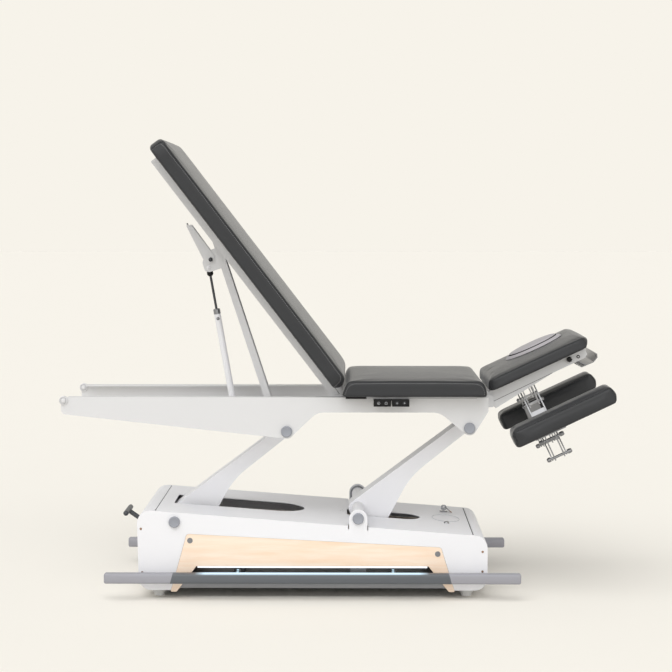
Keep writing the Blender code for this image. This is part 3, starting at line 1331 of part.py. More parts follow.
def make_head_controls(head):
    """Release handle under the head frame and the clamp knob on its near bar."""
    axis = axis_empty("head_release_handle_axis", (HANDLE_PIVOT[0], 0.0, HANDLE_PIVOT[1]), 0.0, head)
    reach = HEAD_BAR_Y[0] - GAP
    shaft = cylinder(0.005, (-reach, reach), (0.0, 0.0), "Y", 12)
    sheet = flat([strip_outline([
        (PADDLE[0], PADDLE_N[0]), (PADDLE[0] + 0.012, PADDLE_N[1]), (PADDLE[1] - 0.022, PADDLE_N[1] - 0.001),
        (PADDLE[1] - 0.004, PADDLE_N[1] + 0.008), (PADDLE[1], PADDLE_N[0] + 0.004),
    ], -0.003)], (-HANDLE_HALF, HANDLE_HALF))
    arm = rod_between((0.0, HANDLE_HALF - 0.012, 0.0), (0.030, HANDLE_HALF - 0.012, PADDLE_N[1] - 0.0015), 0.004, 10)
    steps = [("UNION", both_sides(arm)), ("UNION", sheet)]
    piece("head_release_handle", shaft, CHROME, axis, steps)
    knob_axis = axis_empty("head_clamp_knob_axis", (KNOB_U, -HEAD_BAR_Y[1], KNOB_N), 0.0, head)
    profile = [
        (0.0, -GAP), (0.005, -GAP), (0.005, -0.004), (KNOB_RADIUS, -0.005), (KNOB_RADIUS, -0.014),
        (KNOB_RADIUS - 0.002, -0.016), (0.0, -0.016),
    ]
    piece("head_clamp_knob", turned(profile, (0.0, 0.0), "Y", 16), BLACK, knob_axis)


def link_places(swing):
    """Where the lower end of a link lies below its upper pin, as offsets across and down."""
    return REST_LINK * math.sin(swing), -REST_LINK * math.cos(swing)


def rest_link(across, down, web):
    """One armrest link: two flat arms and a web plate between them, modelled from its upper pin."""
    along = Vector((across, down)).normalized()
    side = Vector((-along.y, along.x)) * LINK_HALF
    end = Vector((across, down))
    middle = Vector((0.0, 0.0))
    corners = [middle - along * LINK_HALF + side, end + along * LINK_HALF + side]
    corners += [end + along * LINK_HALF - side, middle - along * LINK_HALF - side]
    outline = rounded([(p.x, p.y, LINK_HALF * 0.9) for p in corners], 3)
    arms = [flat([outline], (u, u + LINK_THICK), "YZ") for u in (REST_U[0], REST_U[1] - LINK_THICK)]
    first, last = web
    thin = side.normalized() * 0.002
    web_corners = [along * first + thin, along * last + thin, along * last - thin, along * first - thin]
    plate = flat([[tuple(p) for p in web_corners]], (REST_U[0] + 0.002, REST_U[1] - 0.002), "YZ")
    bores = joined(
        cylinder(REST_PIN_RADIUS + GAP, (0.0, 0.3), (0.0, 0.0), "X", 16),
        cylinder(REST_PIN_RADIUS + GAP, (0.0, 0.3), (across, down), "X", 16),
    )
    return arms, plate, bores


def make_armrest(head, side, sign):
    """One armrest: a parallelogram of two links, the carrier under the pad, and the pad."""
    across, down = link_places(REST_SWING)
    mats = (("outer", REST_A[0], (0.100, 0.150)), ("inner", REST_A[1], (0.040, 0.090)))
    for name, n, web in mats:
        axis = axis_empty(f"armrest_link_{name}_{side}_axis", (0.0, sign * REST_Y, n), 0.0, head)
        arms, plate, bores = rest_link(across, down, web)
        meshes = [arms[0], arms[1], plate, bores]
        if sign < 0:
            meshes = [mirrored(mesh) for mesh in meshes]
        steps = [("UNION", meshes[2]), ("UNION", meshes[1]), ("DIFFERENCE", meshes[3])]
        piece(f"armrest_link_{name}_{side}", meshes[0], CHROME, axis, steps)
    centre = REST_Y + across
    low = REST_A[1] + down
    high = REST_A[0] + down
    axis = axis_empty(f"armrest_carrier_{side}_axis", (0.0, sign * centre, high), 0.0, head)
    shelf_top = PAD_N[0] - GAP - high
    shelf = box((0.080, 0.196), (0.005, PAD_Y[1] - 0.030 - centre), (shelf_top - 0.005, shelf_top))
    plates = [
        box((u, u + LINK_THICK), (-0.0098, 0.0098), (low - high - 0.010, shelf_top - 0.001)) for u in PLATE_U
    ]
    pins = []
    for n in (0.0, low - high):
        profile = [
            (0.0, REST_U[1] + 0.020), (0.006, REST_U[1] + 0.020), (NUT_RADIUS, REST_U[1] + 0.016),
            (NUT_RADIUS, REST_U[1] + 0.0035), (REST_PIN_RADIUS, REST_U[1] + 0.0035),
            (REST_PIN_RADIUS, REST_U[0] - 0.0035), (NUT_RADIUS, REST_U[0] - 0.0035),
            (NUT_RADIUS, REST_U[0] - 0.012), (0.006, REST_U[0] - 0.017), (0.0, REST_U[0] - 0.018),
        ]
        pins.append(turned(profile, (0.0, n), "X", 12))
    meshes = [shelf, joined(*plates), joined(*pins)]
    if sign < 0:
        meshes = [mirrored(mesh) for mesh in meshes]
    steps = [("UNION", meshes[1]), ("UNION", meshes[2])]
    piece(f"armrest_carrier_{side}", meshes[0], CHROME, axis, steps)
    bottom = PAD_N[0] - high
    top = PAD_N[1] - high
    start, end = PAD_U
    pad, steps = soft_shape([
        (start + 0.002, bottom, 0.010), (end - 0.016, bottom + 0.002, 0.012), (end, bottom + 0.026, 0.010),
        (end - 0.010, top, 0.022), (start + 0.004, top - 0.003, 0.020),
    ], (PAD_Y[0] - centre, PAD_Y[1] - centre), top + 0.0005, PAD_CROWN, PAD_CORNER)
    if sign < 0:
        pad = mirrored(pad)
        steps = [(operation, mirrored(mesh)) for operation, mesh in steps]
    piece(f"armrest_pad_{side}", pad, VINYL, axis, steps)


def make_head_section(frame):
    head = axis_empty("head_section_axis", (HEAD_HINGE[0], 0.0, HEAD_HINGE[1]), -HEAD_ANGLE, frame)
    make_head_frame(head)
    make_head_cushion(head)
    make_head_controls(head)
    make_armrest(head, "near", -1)
    make_armrest(head, "far", 1)


def centre_model():
    """Moves the whole table so that its box is centred on X and it stands on z = 0."""
    bpy.context.view_layer.update()
    graph = bpy.context.evaluated_depsgraph_get()
    corners = []
    for obj in PARTS.objects:
        if obj.type == "MESH":
            mesh = obj.evaluated_get(graph).to_mesh()
            corners += [obj.matrix_world @ vertex.co for vertex in mesh.vertices]
    xs = [corner.x for corner in corners]
    ROOT.location.x = -(min(xs) + max(xs)) / 2
    ROOT.location.z = -min(corner.z for corner in corners)


def main():
    make_side_plates()
    seam = make_top_plate()
    make_end_covers()
    make_panels()
    make_chassis()
    make_feet()
    make_lower_axles()
    make_foot_bars()
    make_pedal()
    make_lift_motor()
    make_control_unit()
    make_key_lock(seam)
    make_lift_arm("foot", FOOT_PIVOT, False)
    make_lift_arm("head", HEAD_PIVOT, True)
    carried = arm_point(FOOT_PIVOT, ARM_LENGTH, 0.0)
    place = (carried[0] - FRAME_FOOT_PIVOT[0], 0.0, carried[1] - FRAME_FOOT_PIVOT[1])
    frame = axis_empty("upper_frame_axis", place, 0.0, ROOT)
    make_rails(frame)
    make_upper_axles(frame)
    make_subframe(frame)
    make_seat(frame)
    make_control_boxes(frame)
    make_long_section(frame)
    arm_axis = make_support_arm(frame)
    make_release_lever(arm_axis)
    make_gas_spring(frame)
    make_head_section(frame)
    shade_round()
    centre_model()


main()
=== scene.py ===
"""Looks of the treatment table: upholstery, finishes, fittings and stage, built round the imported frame."""

import json
import math

import bmesh
import bpy
import numpy as np
from bpy.props import FloatProperty, FloatVectorProperty, IntProperty, PointerProperty
from mathutils import Matrix, Vector
from mathutils.bvhtree import BVHTree
from mathutils.kdtree import KDTree


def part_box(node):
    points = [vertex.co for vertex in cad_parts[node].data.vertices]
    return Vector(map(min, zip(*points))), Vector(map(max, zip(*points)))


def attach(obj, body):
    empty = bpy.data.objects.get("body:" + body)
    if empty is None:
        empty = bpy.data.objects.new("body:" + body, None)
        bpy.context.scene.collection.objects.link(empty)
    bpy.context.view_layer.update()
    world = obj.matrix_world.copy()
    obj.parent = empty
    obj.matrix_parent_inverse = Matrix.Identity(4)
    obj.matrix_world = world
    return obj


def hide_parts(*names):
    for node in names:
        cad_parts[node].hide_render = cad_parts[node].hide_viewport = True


bl_info = {
    "name": "Treatment table looks",
    "version": (1, 0, 0),
    "blender": (4, 5, 0),
    "location": "3D View > Sidebar > Table",
    "description": "Upholstery, finishes, fittings and stage for the treatment table",
    "category": "Object",
}

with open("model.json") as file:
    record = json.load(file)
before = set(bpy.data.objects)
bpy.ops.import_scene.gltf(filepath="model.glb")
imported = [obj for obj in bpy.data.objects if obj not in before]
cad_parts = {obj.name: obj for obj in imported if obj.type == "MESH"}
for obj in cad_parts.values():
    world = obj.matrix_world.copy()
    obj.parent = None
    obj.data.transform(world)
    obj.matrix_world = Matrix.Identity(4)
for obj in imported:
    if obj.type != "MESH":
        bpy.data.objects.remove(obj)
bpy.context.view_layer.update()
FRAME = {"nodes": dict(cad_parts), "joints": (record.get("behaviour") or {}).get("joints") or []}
NODES = FRAME["nodes"]
JOINTS = {joint["name"]: joint for joint in FRAME["joints"]}


def linear(red, green, blue):
    """A screen colour, 0 to 255, as the linear colour that a shader takes."""
    def channel(value):
        value /= 255
        return value / 12.92 if value <= 0.04045 else ((value + 0.055) / 1.055) ** 2.4
    return channel(red), channel(green), channel(blue)


def joint_place(name):
    return Vector(JOINTS[name]["pos_m"])


def tilted(place, angle):
    """Matrix of a frame at a place, its X axis raised by an angle from the table's X axis."""
    return Matrix.Translation(place) @ Matrix.Rotation(-angle, 4, "Y")


# Tilts of the two sections at rest, and slope of the base's top face
SECTION_TILT = math.radians(-52.5)
HEAD_TILT = math.radians(25.0)
TOP_SLOPE = 0.0760

SECTION = tilted(joint_place("long_section_tilt"), SECTION_TILT)
HEAD = tilted(joint_place("head_section_tilt"), HEAD_TILT)
TABLE = Matrix.Identity(4)

# Height of the plug's dome over the head cushion, and sides of its rings
PLUG_DOME = 0.0180
PLUG_SIDES = 96

# Soft fill: held height at the board, shrink before the fill, largest move, and frames of the simulation
HELD_HEIGHT = 0.005
SHRINK = 0.001
SHRINK_RISE = 0.02
LARGEST_MOVE = 0.0025
FILL_FRAMES = 20

# Spacing of points along a welt and a stitch run, height where stitches start, share of the edge above them
WELT_SPACING = 0.003
RUN_SPACING = 0.004
RUN_FLOOR = 0.014
RUN_DROP = 0.8

# Foot bars: where the slate middle starts inside the wood panel, and how its ends lean
MIDDLE_START = 0.007
MIDDLE_END = 0.017
MIDDLE_LEAN = 0.27
LEAN_HEIGHT = 0.080

# Places of screws along the table and up, on both side plates
COVER_SCREWS = [(-0.689, 0.246), (-0.685, 0.091), (0.515, 0.166), (0.5145, 0.096)]
PANEL_SCREWS = [(-0.516, 0.2045), (0.357, 0.158)]

# Places along and across the base's top face
HATCH_CENTRE = (0.401, 0.020)
LOCK_PLACE = (0.399, -0.087)
SENSOR_HOLES = [(0.020, 0.030), (0.013, 0.012), (0.021, 0.000)]
SEAM_HALF_LENGTH = 0.285


def colour_prop(name, description, default):
    return FloatVectorProperty(
        name=name, description=description, default=default, size=3, min=0.0, max=1.0, subtype="COLOR"
    )


def length_prop(name, description, default):
    return FloatProperty(
        name=name, description=description, default=default, min=0.0, unit="LENGTH", precision=4
    )


def number_prop(name, description, default):
    return FloatProperty(name=name, description=description, default=default, min=0.0)


def angle_prop(name, description, degrees):
    return FloatProperty(name=name, description=description, default=math.radians(degrees), subtype="ANGLE")


class UpholsterySettings(bpy.types.PropertyGroup):
    vinyl: colour_prop("Vinyl", "Colour of the upholstery", linear(50, 51, 53))
    thread: colour_prop("Thread", "Colour of the stitches", linear(140, 140, 141))
    cover: colour_prop("Plug cover", "Colour of the plug in the face opening", linear(166, 163, 166))
    pressure: number_prop("Fill pressure", "Pressure that swells each cushion", 4.0)
    stitch_pitch: length_prop("Stitch pitch", "Distance from one stitch to the next", 0.0065)
    stitch_length: length_prop("Stitch length", "Length of one stitch", 0.0040)
    stitch_radius: length_prop("Stitch radius", "Half the thread's thickness", 0.0005)
    seam_depth: length_prop("Seam depth", "How far a seam sinks into the cushion", 0.0012)
    seam_inset: length_prop("Seam inset", "Distance of a seam from the cushion's side", 0.0030)
    piping_radius: length_prop("Piping radius", "Half the thickness of the welt along each edge", 0.0011)


class PaintSettings(bpy.types.PropertyGroup):
    base_white: colour_prop("Base white", "Powder coat on the base and lift arms", linear(229, 229, 232))
    frame_grey: colour_prop("Frame grey", "Powder coat on the upper frame", linear(211, 211, 212))
    cap_grey: colour_prop("Cap grey", "Plastic caps on the axles", linear(144, 147, 155))
    bar_grey: colour_prop("Bar grey", "Ends of the foot bars", linear(150, 150, 157))
    bar_slate: colour_prop("Bar slate", "Middle of the foot bars", linear(86, 90, 95))
    pedal_slate: colour_prop("Pedal slate", "Castor pedal", linear(62, 65, 70))
    peel_scale: number_prop("Peel scale", "Fineness of the paint's texture", 900.0)


class WoodSettings(bpy.types.PropertyGroup):
    pale: colour_prop("Pale wood", "Light part of the grain", linear(243, 224, 205))
    warm: colour_prop("Warm wood", "Dark part of the grain", linear(238, 206, 176))
    grain_scale: number_prop("Grain scale", "Fineness of the grain across the panel", 55.0)
    veneer: length_prop("Veneer", "Thickness of one ply at the panel's edge", 0.0015)


class LightSettings(bpy.types.PropertyGroup):
    # The glow is painted light: emission on the foot bars' top faces that stands for the strips' light
    # falling there
    glow: colour_prop("Glow", "Colour of the light under the panels", linear(205, 236, 252))
    strength: number_prop("Glow strength", "Brightness of the light strips", 1.0)
    fade: length_prop("Fade", "Length over which the glow dies out at its ends", 0.030)


class FittingSettings(bpy.types.PropertyGroup):
    cover_screw_radius: length_prop("Cover screw radius", "Small screws of the end covers", 0.0042)
    panel_screw_radius: length_prop("Panel screw radius", "Cap screws of the wood panels", 0.0098)
    hatch_length: length_prop("Hatch length", "Half length of the service hatch", 0.050)
    hatch_width: length_prop("Hatch width", "Half width of the service hatch", 0.075)
    key_ring_radius: length_prop("Key ring radius", "Radius of the ring that holds the keys", 0.013)
    pin_knob_radius: length_prop("Pin knob radius", "Black knobs on the armrests' pins", 0.0075)
    knob_lobes: IntProperty(name="Knob lobes", description="Grips round the clamp knob", default=9, min=3)


class StageSettings(bpy.types.PropertyGroup):
    backdrop: colour_prop("Backdrop", "Colour seen behind the table", linear(247, 243, 234))
    floor: colour_prop("Floor", "Colour of the floor itself", linear(247, 243, 234))
    soft_light: number_prop("Soft light", "Strength of the light from all round", 0.50)
    key_light: number_prop("Key light", "Strength of the light from above", 1.31)
    fill_light: number_prop("Fill light", "Strength of the light from the front", 1.40)
    lens: number_prop("Lens", "Focal length on a 36 mm sensor", 96.43)
    camera_height: length_prop("Camera height", "Height of the camera", 1.3492)
    camera_distance: length_prop("Camera distance", "Distance of the camera from the table's middle", 6.58)
    camera_side: length_prop("Camera side", "Place of the camera along the table", 0.0544)
    pitch: angle_prop("Pitch", "Downward tilt", 3.846)
    yaw: angle_prop("Yaw", "Turn to the left", 0.508)


GROUPS = {
    "table_upholstery": UpholsterySettings,
    "table_paint": PaintSettings,
    "table_wood": WoodSettings,
    "table_light": LightSettings,
    "table_fittings": FittingSettings,
    "table_stage": StageSettings,
}


class NodeBuilder:
    """Short calls that add nodes to a tree and link or set their sockets."""

    def put(self, socket, value):
        if isinstance(value, bpy.types.NodeSocket):
            self.tree.links.new(value, socket)
        else:
            socket.default_value = value

    def node(self, kind, inputs=None, **settings):
        made = self.tree.nodes.new(kind)
        for key, value in settings.items():
            setattr(made, key, value)
        for key, value in (inputs or {}).items():
            self.put(made.inputs[key], value)
        return made


class Surface(NodeBuilder):
    """A node material under construction: a Principled shader with short calls for what feeds it."""

    def __init__(self, name, roughness=0.5, metallic=0.0):
        self.material = bpy.data.materials.new("table_" + name)
        self.material.use_nodes = True
        self.tree = self.material.node_tree
        self.shader = self.tree.nodes["Principled BSDF"]
        self.shader.inputs["Roughness"].default_value = roughness
        self.shader.inputs["Metallic"].default_value = metallic
        self.coords = self.tree.nodes.new("ShaderNodeTexCoord").outputs["Object"]

    def mapped(self, scale=(1, 1, 1), turn=(0, 0, 0), place=(0, 0, 0)):
        inputs = {"Vector": self.coords, "Scale": scale, "Rotation": turn, "Location": place}
        return self.node("ShaderNodeMapping", inputs).outputs["Vector"]

    def noise(self, scale, detail=3.0, vector=None, roughness=0.5):
        inputs = {"Vector": vector or self.coords, "Scale": scale, "Detail": detail, "Roughness": roughness}
        return self.node("ShaderNodeTexNoise", inputs).outputs["Fac"]

    def cells(self, scale):
        inputs = {"Vector": self.coords, "Scale": scale}
        return self.node("ShaderNodeTexVoronoi", inputs, feature="DISTANCE_TO_EDGE").outputs["Distance"]

    def ramp(self, value, low, high, start=0.0, end=1.0):
        inputs = {"Value": value, "From Min": start, "From Max": end, "To Min": low, "To Max": high}
        return self.node("ShaderNodeMapRange", inputs).outputs["Result"]

    def blend(self, factor, first, second):
        inputs = {"Factor": factor, "A": first, "B": second}
        made = self.node("ShaderNodeMix", data_type="RGBA")
        for key, value in inputs.items():
            self.put([s for s in made.inputs if s.name == key and s.enabled][0], value)
        return [s for s in made.outputs if s.enabled][0]

    def math(self, operation, first, second=0.0):
        return self.node("ShaderNodeMath", {0: first, 1: second}, operation=operation).outputs[0]

    def feed(self, name, value):
        self.put(self.shader.inputs[name], value)

    def bump(self, height, distance, strength=0.5):
        inputs = {"Height": height, "Distance": distance, "Strength": strength}
        self.feed("Normal", self.node("ShaderNodeBump", inputs).outputs["Normal"])


def rgba(colour, factor=1.0):
    return (*(min(1.0, channel * factor) for channel in colour), 1.0)


def once(builder):
    """A material is made the first time that it is asked for."""
    def get():
        return bpy.data.materials.get("table_" + builder.__name__) or builder()
    return get


@once
def vinyl():
    settings = bpy.context.scene.table_upholstery
    made = Surface("vinyl")
    colour = settings.vinyl
    tone = made.noise(7.0, 4.0)
    made.feed("Base Color", made.blend(tone, rgba(colour, 0.90), rgba(colour, 1.12)))
    made.feed("Roughness", made.ramp(made.noise(38.0, 3.0), 0.34, 0.44))
    made.feed("Specular IOR Level", 0.22)
    made.feed("Sheen Weight", 0.25)
    made.feed("Sheen Roughness", 0.35)
    pebble = made.ramp(made.cells(620.0), 0.0, 1.0, 0.0, 0.35)
    creases = made.noise(90.0, 5.0)
    made.bump(made.math("ADD", pebble, made.math("MULTIPLY", creases, 0.8)), 0.00018, 0.5)
    return made.material


def plain(name, colour, roughness, metallic=0.0, scale=500.0, spread=0.06, depth=0.00006, specular=0.5):
    """Paint or plastic with a fine texture and slightly uneven colour and gloss."""
    made = Surface(name, roughness, metallic)
    made.feed("Specular IOR Level", specular)
    dark, pale = rgba(colour, 1.0 - spread / 2), rgba(colour, 1.0 + spread / 2)
    made.feed("Base Color", made.blend(made.noise(5.0, 3.0), dark, pale))
    made.feed("Roughness", made.ramp(made.noise(scale * 0.06, 4.0), roughness - 0.06, roughness + 0.06))
    made.bump(made.noise(scale, 2.0), depth, 0.4)
    return made.material


@once
def base_paint():
    settings = bpy.context.scene.table_paint
    return plain("base_paint", settings.base_white, 0.42, 0.0, settings.peel_scale, 0.02)


@once
def frame_paint():
    settings = bpy.context.scene.table_paint
    return plain("frame_paint", settings.frame_grey, 0.45, 0.0, settings.peel_scale, 0.02)


@once
def cap_plastic():
    return plain("cap_plastic", bpy.context.scene.table_paint.cap_grey, 0.45, 0.0, 700.0)


@once
def foot_plastic():
    return plain("foot_plastic", linear(216, 216, 214), 0.5, 0.0, 600.0)


@once
def pedal_paint():
    return plain("pedal_paint", bpy.context.scene.table_paint.pedal_slate, 0.42, 0.0, 700.0)


@once
def black_plastic():
    return plain("black_plastic", linear(17, 17, 18), 0.38, 0.0, 900.0, 0.2, specular=0.2)


# Near-black for the dark joints of seams and lines, and for painted shade inside the face plug's slit
@once
def dark_joints_and_painted_shade():
    return plain("dark_joints_and_painted_shade", linear(24, 24, 24), 0.7, 0.0, 300.0, 0.2, 0.0002, specular=0.2)


@once
def seat_edging():
    """Seat board whose edge is black at the hinge and grey along the rest of the seat."""
    made = Surface("seat_edging", 0.6)
    made.feed("Specular IOR Level", 0.2)
    along = made.node("ShaderNodeSeparateXYZ", {0: made.coords}).outputs["X"]
    grey = made.ramp(along, 0.0, 1.0, 0.104, 0.108)
    cloud = made.blend(made.noise(8.0), rgba(linear(168, 168, 169)), rgba(linear(178, 178, 179)))
    made.feed("Base Color", made.blend(grey, rgba(linear(22, 22, 22)), cloud))
    made.bump(made.noise(400.0), 0.0001, 0.3)
    return made.material


@once
def button_plastic():
    return plain("button_plastic", linear(34, 34, 36), 0.4, 0.0, 900.0, specular=0.2)


@once
def print_ink():
    return plain("print_ink", linear(196, 198, 200), 0.5, 0.0, 900.0)


@once
def motor_paint():
    return plain("motor_paint", linear(40, 41, 44), 0.5, 0.0, 500.0)


def steel(name, tone, roughness, streak):
    """Plated or brushed steel with fine marks along one direction."""
    made = Surface(name, roughness, 1.0)
    marks = made.noise(220.0, 4.0, made.mapped(streak))
    made.feed("Base Color", made.blend(made.noise(14.0), rgba(tone, 0.92), rgba(tone, 1.06)))
    made.feed("Roughness", made.ramp(marks, roughness - 0.06, roughness + 0.10))
    made.bump(marks, 0.00002, 0.3)
    return made.material


@once
def bright_steel():
    return steel("bright_steel", linear(156, 157, 160), 0.24, (1.0, 1.0, 0.15))


@once
def zinc_steel():
    return steel("zinc_steel", linear(132, 134, 138), 0.40, (0.2, 1.0, 1.0))


@once
def link_steel():
    return steel("link_steel", linear(138, 139, 142), 0.30, (1.0, 1.0, 0.15))


@once
def brass():
    return steel("brass", linear(150, 122, 104), 0.36, (1.0, 1.0, 1.0))


@once
def rod_steel():
    return steel("rod_steel", linear(74, 75, 78), 0.3, (1.0, 1.0, 0.1))


@once
def cover_cloth():
    settings = bpy.context.scene.table_upholstery
    made = Surface("cover_cloth")
    colour = settings.cover
    made.feed("Base Color", made.blend(made.noise(9.0), rgba(colour, 0.95), rgba(colour, 1.05)))
    made.feed("Roughness", made.ramp(made.noise(45.0), 0.52, 0.66))
    made.bump(made.ramp(made.cells(620.0), 0.0, 1.0, 0.0, 0.35), 0.00012, 0.4)
    return made.material


@once
def thread():
    return plain("thread", bpy.context.scene.table_upholstery.thread, 0.6, 0.0, 2500.0, 0.2, 0.0001)


@once
def birch():
    settings = bpy.context.scene.table_wood
    made = Surface("birch")
    slant = (0.0, math.radians(2.0), 0.0)
    grain = made.noise(settings.grain_scale, 6.0, made.mapped((0.09, 1.0, 1.0), slant), 0.62)
    wide = made.noise(settings.grain_scale * 0.22, 3.0, made.mapped((0.16, 1.0, 1.0)))
    lines = made.ramp(grain, 0.0, 1.0, 0.36, 0.66)
    mixed = made.math("MULTIPLY", lines, made.ramp(wide, 0.45, 1.0, 0.3, 0.7))
    face = made.blend(mixed, rgba(settings.pale), rgba(settings.warm))
    normal = made.node("ShaderNodeNewGeometry").outputs["Normal"]
    across = made.node("ShaderNodeSeparateXYZ", {0: normal}).outputs["Y"]
    edge = made.math("LESS_THAN", made.math("ABSOLUTE", across), 0.5)
    depth = made.node("ShaderNodeSeparateXYZ", {0: made.coords}).outputs["Y"]
    ply = made.math("PINGPONG", depth, settings.veneer)
    plies = made.ramp(ply, 0.0, 1.0, settings.veneer * 0.35, settings.veneer * 0.65)
    edges = made.blend(plies, rgba(settings.warm, 0.80), rgba(settings.pale, 0.97))
    made.feed("Base Color", made.blend(edge, face, edges))
    made.feed("Roughness", made.ramp(grain, 0.40, 0.55))
    made.bump(grain, 0.00012, 0.35)
    return made.material


@once
def strip_light():
    settings = bpy.context.scene.table_light
    made = Surface("strip_light", 0.4)
    dark, pale = rgba(linear(236, 240, 244)), rgba(linear(246, 249, 252))
    made.feed("Base Color", made.blend(made.noise(60.0), dark, pale))
    made.feed("Emission Color", rgba(linear(240, 246, 255)))
    made.feed("Emission Strength", 0.35 * settings.strength)
    return made.material


def glow_ends():
    """Where the light under a panel starts and ends along the table."""
    low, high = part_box("light_strip_near")
    return low.x, high.x


@once
def bar_middle():
    """Slate foot bar whose upper face carries a painted glow, emission that stands for the strip's light on
    it.
    """
    paint = bpy.context.scene.table_paint
    light = bpy.context.scene.table_light
    made = Surface("bar_middle", 0.42)
    cloud = made.noise(6.0)
    made.feed("Base Color", made.blend(cloud, rgba(paint.bar_slate, 0.97), rgba(paint.bar_slate, 1.03)))
    made.feed("Roughness", made.ramp(made.noise(40.0), 0.36, 0.46))
    made.bump(made.noise(700.0), 0.00005, 0.4)
    start, end = glow_ends()
    parts = made.node("ShaderNodeSeparateXYZ", {0: made.coords}).outputs
    fade = light.fade
    left = made.ramp(parts["X"], 0.0, 1.0, start - fade * 0.2, start + fade)
    right = made.ramp(parts["X"], 1.0, 0.0, end - fade, end + fade * 0.2)
    normal = made.node("ShaderNodeNewGeometry").outputs["Normal"]
    up = made.node("ShaderNodeSeparateXYZ", {0: normal}).outputs["Z"]
    top = made.ramp(up, 0.0, 1.0, 0.45, 0.95)
    # Painted light: the top face glows as emission where the strip's light would fall, fading at the strip's
    # ends
    painted_glow = made.math("MULTIPLY", made.math("MULTIPLY", left, right), top)
    made.feed("Emission Color", made.blend(painted_glow, (0, 0, 0, 1), rgba(light.glow)))
    made.feed("Emission Strength", light.strength)
    return made.material


@once
def bar_end():
    return plain("bar_end", bpy.context.scene.table_paint.bar_grey, 0.42, 0.0, 700.0, 0.03)


FINISHES = {
    base_paint: ("base_side_plate", "base_top_plate", "base_end_cover", "lift_arm", "gas_spring_cylinder"),
    frame_paint: (
        "rail_", "seat_subframe", "long_section_frame", "support_arm", "head_frame", "release_lever",
    ),
    zinc_steel: ("base_chassis", "support_arm_axle", "gas_spring_axle", "lower_axle", "upper_axle"),
    foot_plastic: ("levelling_foot",),
    seat_edging: ("seat_board",),
    birch: ("wood_panel",),
    strip_light: ("light_strip",),
    pedal_paint: ("castor_pedal",),
    motor_paint: ("lift_motor",),
    rod_steel: ("gas_spring_rod",),
    black_plastic: ("control_boxes", "control_unit", "head_clamp_knob"),
    button_plastic: ("button_",),
    bright_steel: ("key_lock", "safety_key", "lift_motor_rod"),
    link_steel: ("armrest_link", "armrest_carrier", "head_release_handle"),
    bar_end: ("foot_bar",),
    vinyl: ("seat_cushion", "long_section_cushion", "head_cushion", "armrest_pad"),
    cover_cloth: ("face_hole_plug",),
}


def shape_object(name, bm, materials):
    """A finished shape as an object at the origin."""
    mesh = bpy.data.meshes.new(name)
    bm.to_mesh(mesh)
    bm.free()
    made = bpy.data.objects.new(name, mesh)
    bpy.context.scene.collection.objects.link(made)
    for material in materials:
        mesh.materials.append(material)
    return made


def smooth(obj, angle=40.0):
    obj.data.shade_smooth()
    obj.data.set_sharp_from_angle(angle=math.radians(angle))
    return obj


def baked(obj):
    """Replaces an object's mesh by its evaluated one and drops its modifiers."""
    graph = bpy.context.evaluated_depsgraph_get()
    mesh = bpy.data.meshes.new_from_object(obj.evaluated_get(graph), depsgraph=graph)
    obj.modifiers.clear()
    old = obj.data
    obj.data = mesh
    if isinstance(old, bpy.types.Mesh):
        bpy.data.meshes.remove(old)
    return obj


def places_of(mesh):
    """The vertices' places as an array."""
    flat = np.empty(len(mesh.vertices) * 3)
    mesh.vertices.foreach_get("co", flat)
    return flat.reshape(-1, 3)


def normals_of(mesh):
    """The vertices' normals as an array."""
    flat = np.empty(len(mesh.vertices) * 3)
    mesh.vertices.foreach_get("normal", flat)
    return flat.reshape(-1, 3)


def set_places(mesh, places):
    mesh.vertices.foreach_set("co", np.ascontiguousarray(places).ravel())
    mesh.update()


def in_frame(matrix, places):
    """Places turned into the coordinates of a frame given by its matrix."""
    inverse = np.array(matrix.inverted())
    return places @ inverse[:3, :3].T + inverse[:3, 3]


def merged_copy(node):
    """A CAD node's shape with its loose triangles joined."""
    bm = bmesh.new()
    bm.from_mesh(NODES[node].data)
    bmesh.ops.remove_doubles(bm, verts=bm.verts, dist=1e-5)
    return bm


def turns(count):
    """Cosine and sine of even steps round a circle."""
    for step in range(count):
        angle = 2 * math.pi * step / count
        yield math.cos(angle), math.sin(angle)


def bridge(bm, lower, upper):
    """Faces from one ring of vertices to the next, either of which may be a single one."""
    sides = max(len(lower), len(upper))
    faces = []
    for side in range(sides):
        after = (side + 1) % sides
        if len(lower) == 1:
            corners = (lower[0], upper[after], upper[side])
        elif len(upper) == 1:
            corners = (lower[side], lower[after], upper[0])
        else:
            corners = (lower[side], lower[after], upper[after], upper[side])
        faces.append(bm.faces.new(corners))
    return faces


def lathe(profile, sides=32):
    """A turned shape about Z from (radius, height) points, open ends closed on the axis."""
    bm = bmesh.new()
    rings = []
    for radius, height in profile:
        if radius < 1e-6:
            rings.append([bm.verts.new((0, 0, height))])
        else:
            rings.append([bm.verts.new((radius * c, radius * s, height)) for c, s in turns(sides)])
    for lower, upper in zip(rings, rings[1:]):
        bridge(bm, lower, upper)
    bmesh.ops.remove_doubles(bm, verts=bm.verts, dist=1e-6)
    bmesh.ops.recalc_face_normals(bm, faces=bm.faces)
    return bm


def tube(points, radius, sides=12, closed=False):
    """A round tube along a run of points."""
    bm = bmesh.new()
    count = len(points)
    rings = []
    normal = None
    for index, point in enumerate(points):
        before = points[index - 1] if index or closed else point
        after = points[(index + 1) % count] if index < count - 1 or closed else point
        along = (Vector(after) - Vector(before)).normalized()
        if normal is None:
            normal = along.orthogonal().normalized()
        normal = (normal - along * normal.dot(along)).normalized()
        side = along.cross(normal)
        offsets = [(normal * c + side * s) * radius for c, s in turns(sides)]
        rings.append([bm.verts.new(Vector(point) + offset) for offset in offsets])
    for first, second in zip(rings, rings[1:]):
        bridge(bm, first, second)
    if closed:
        bridge(bm, rings[-1], rings[0])
    else:
        bm.faces.new(rings[0][::-1])
        bm.faces.new(rings[-1])
    bmesh.ops.recalc_face_normals(bm, faces=bm.faces)
    return bm


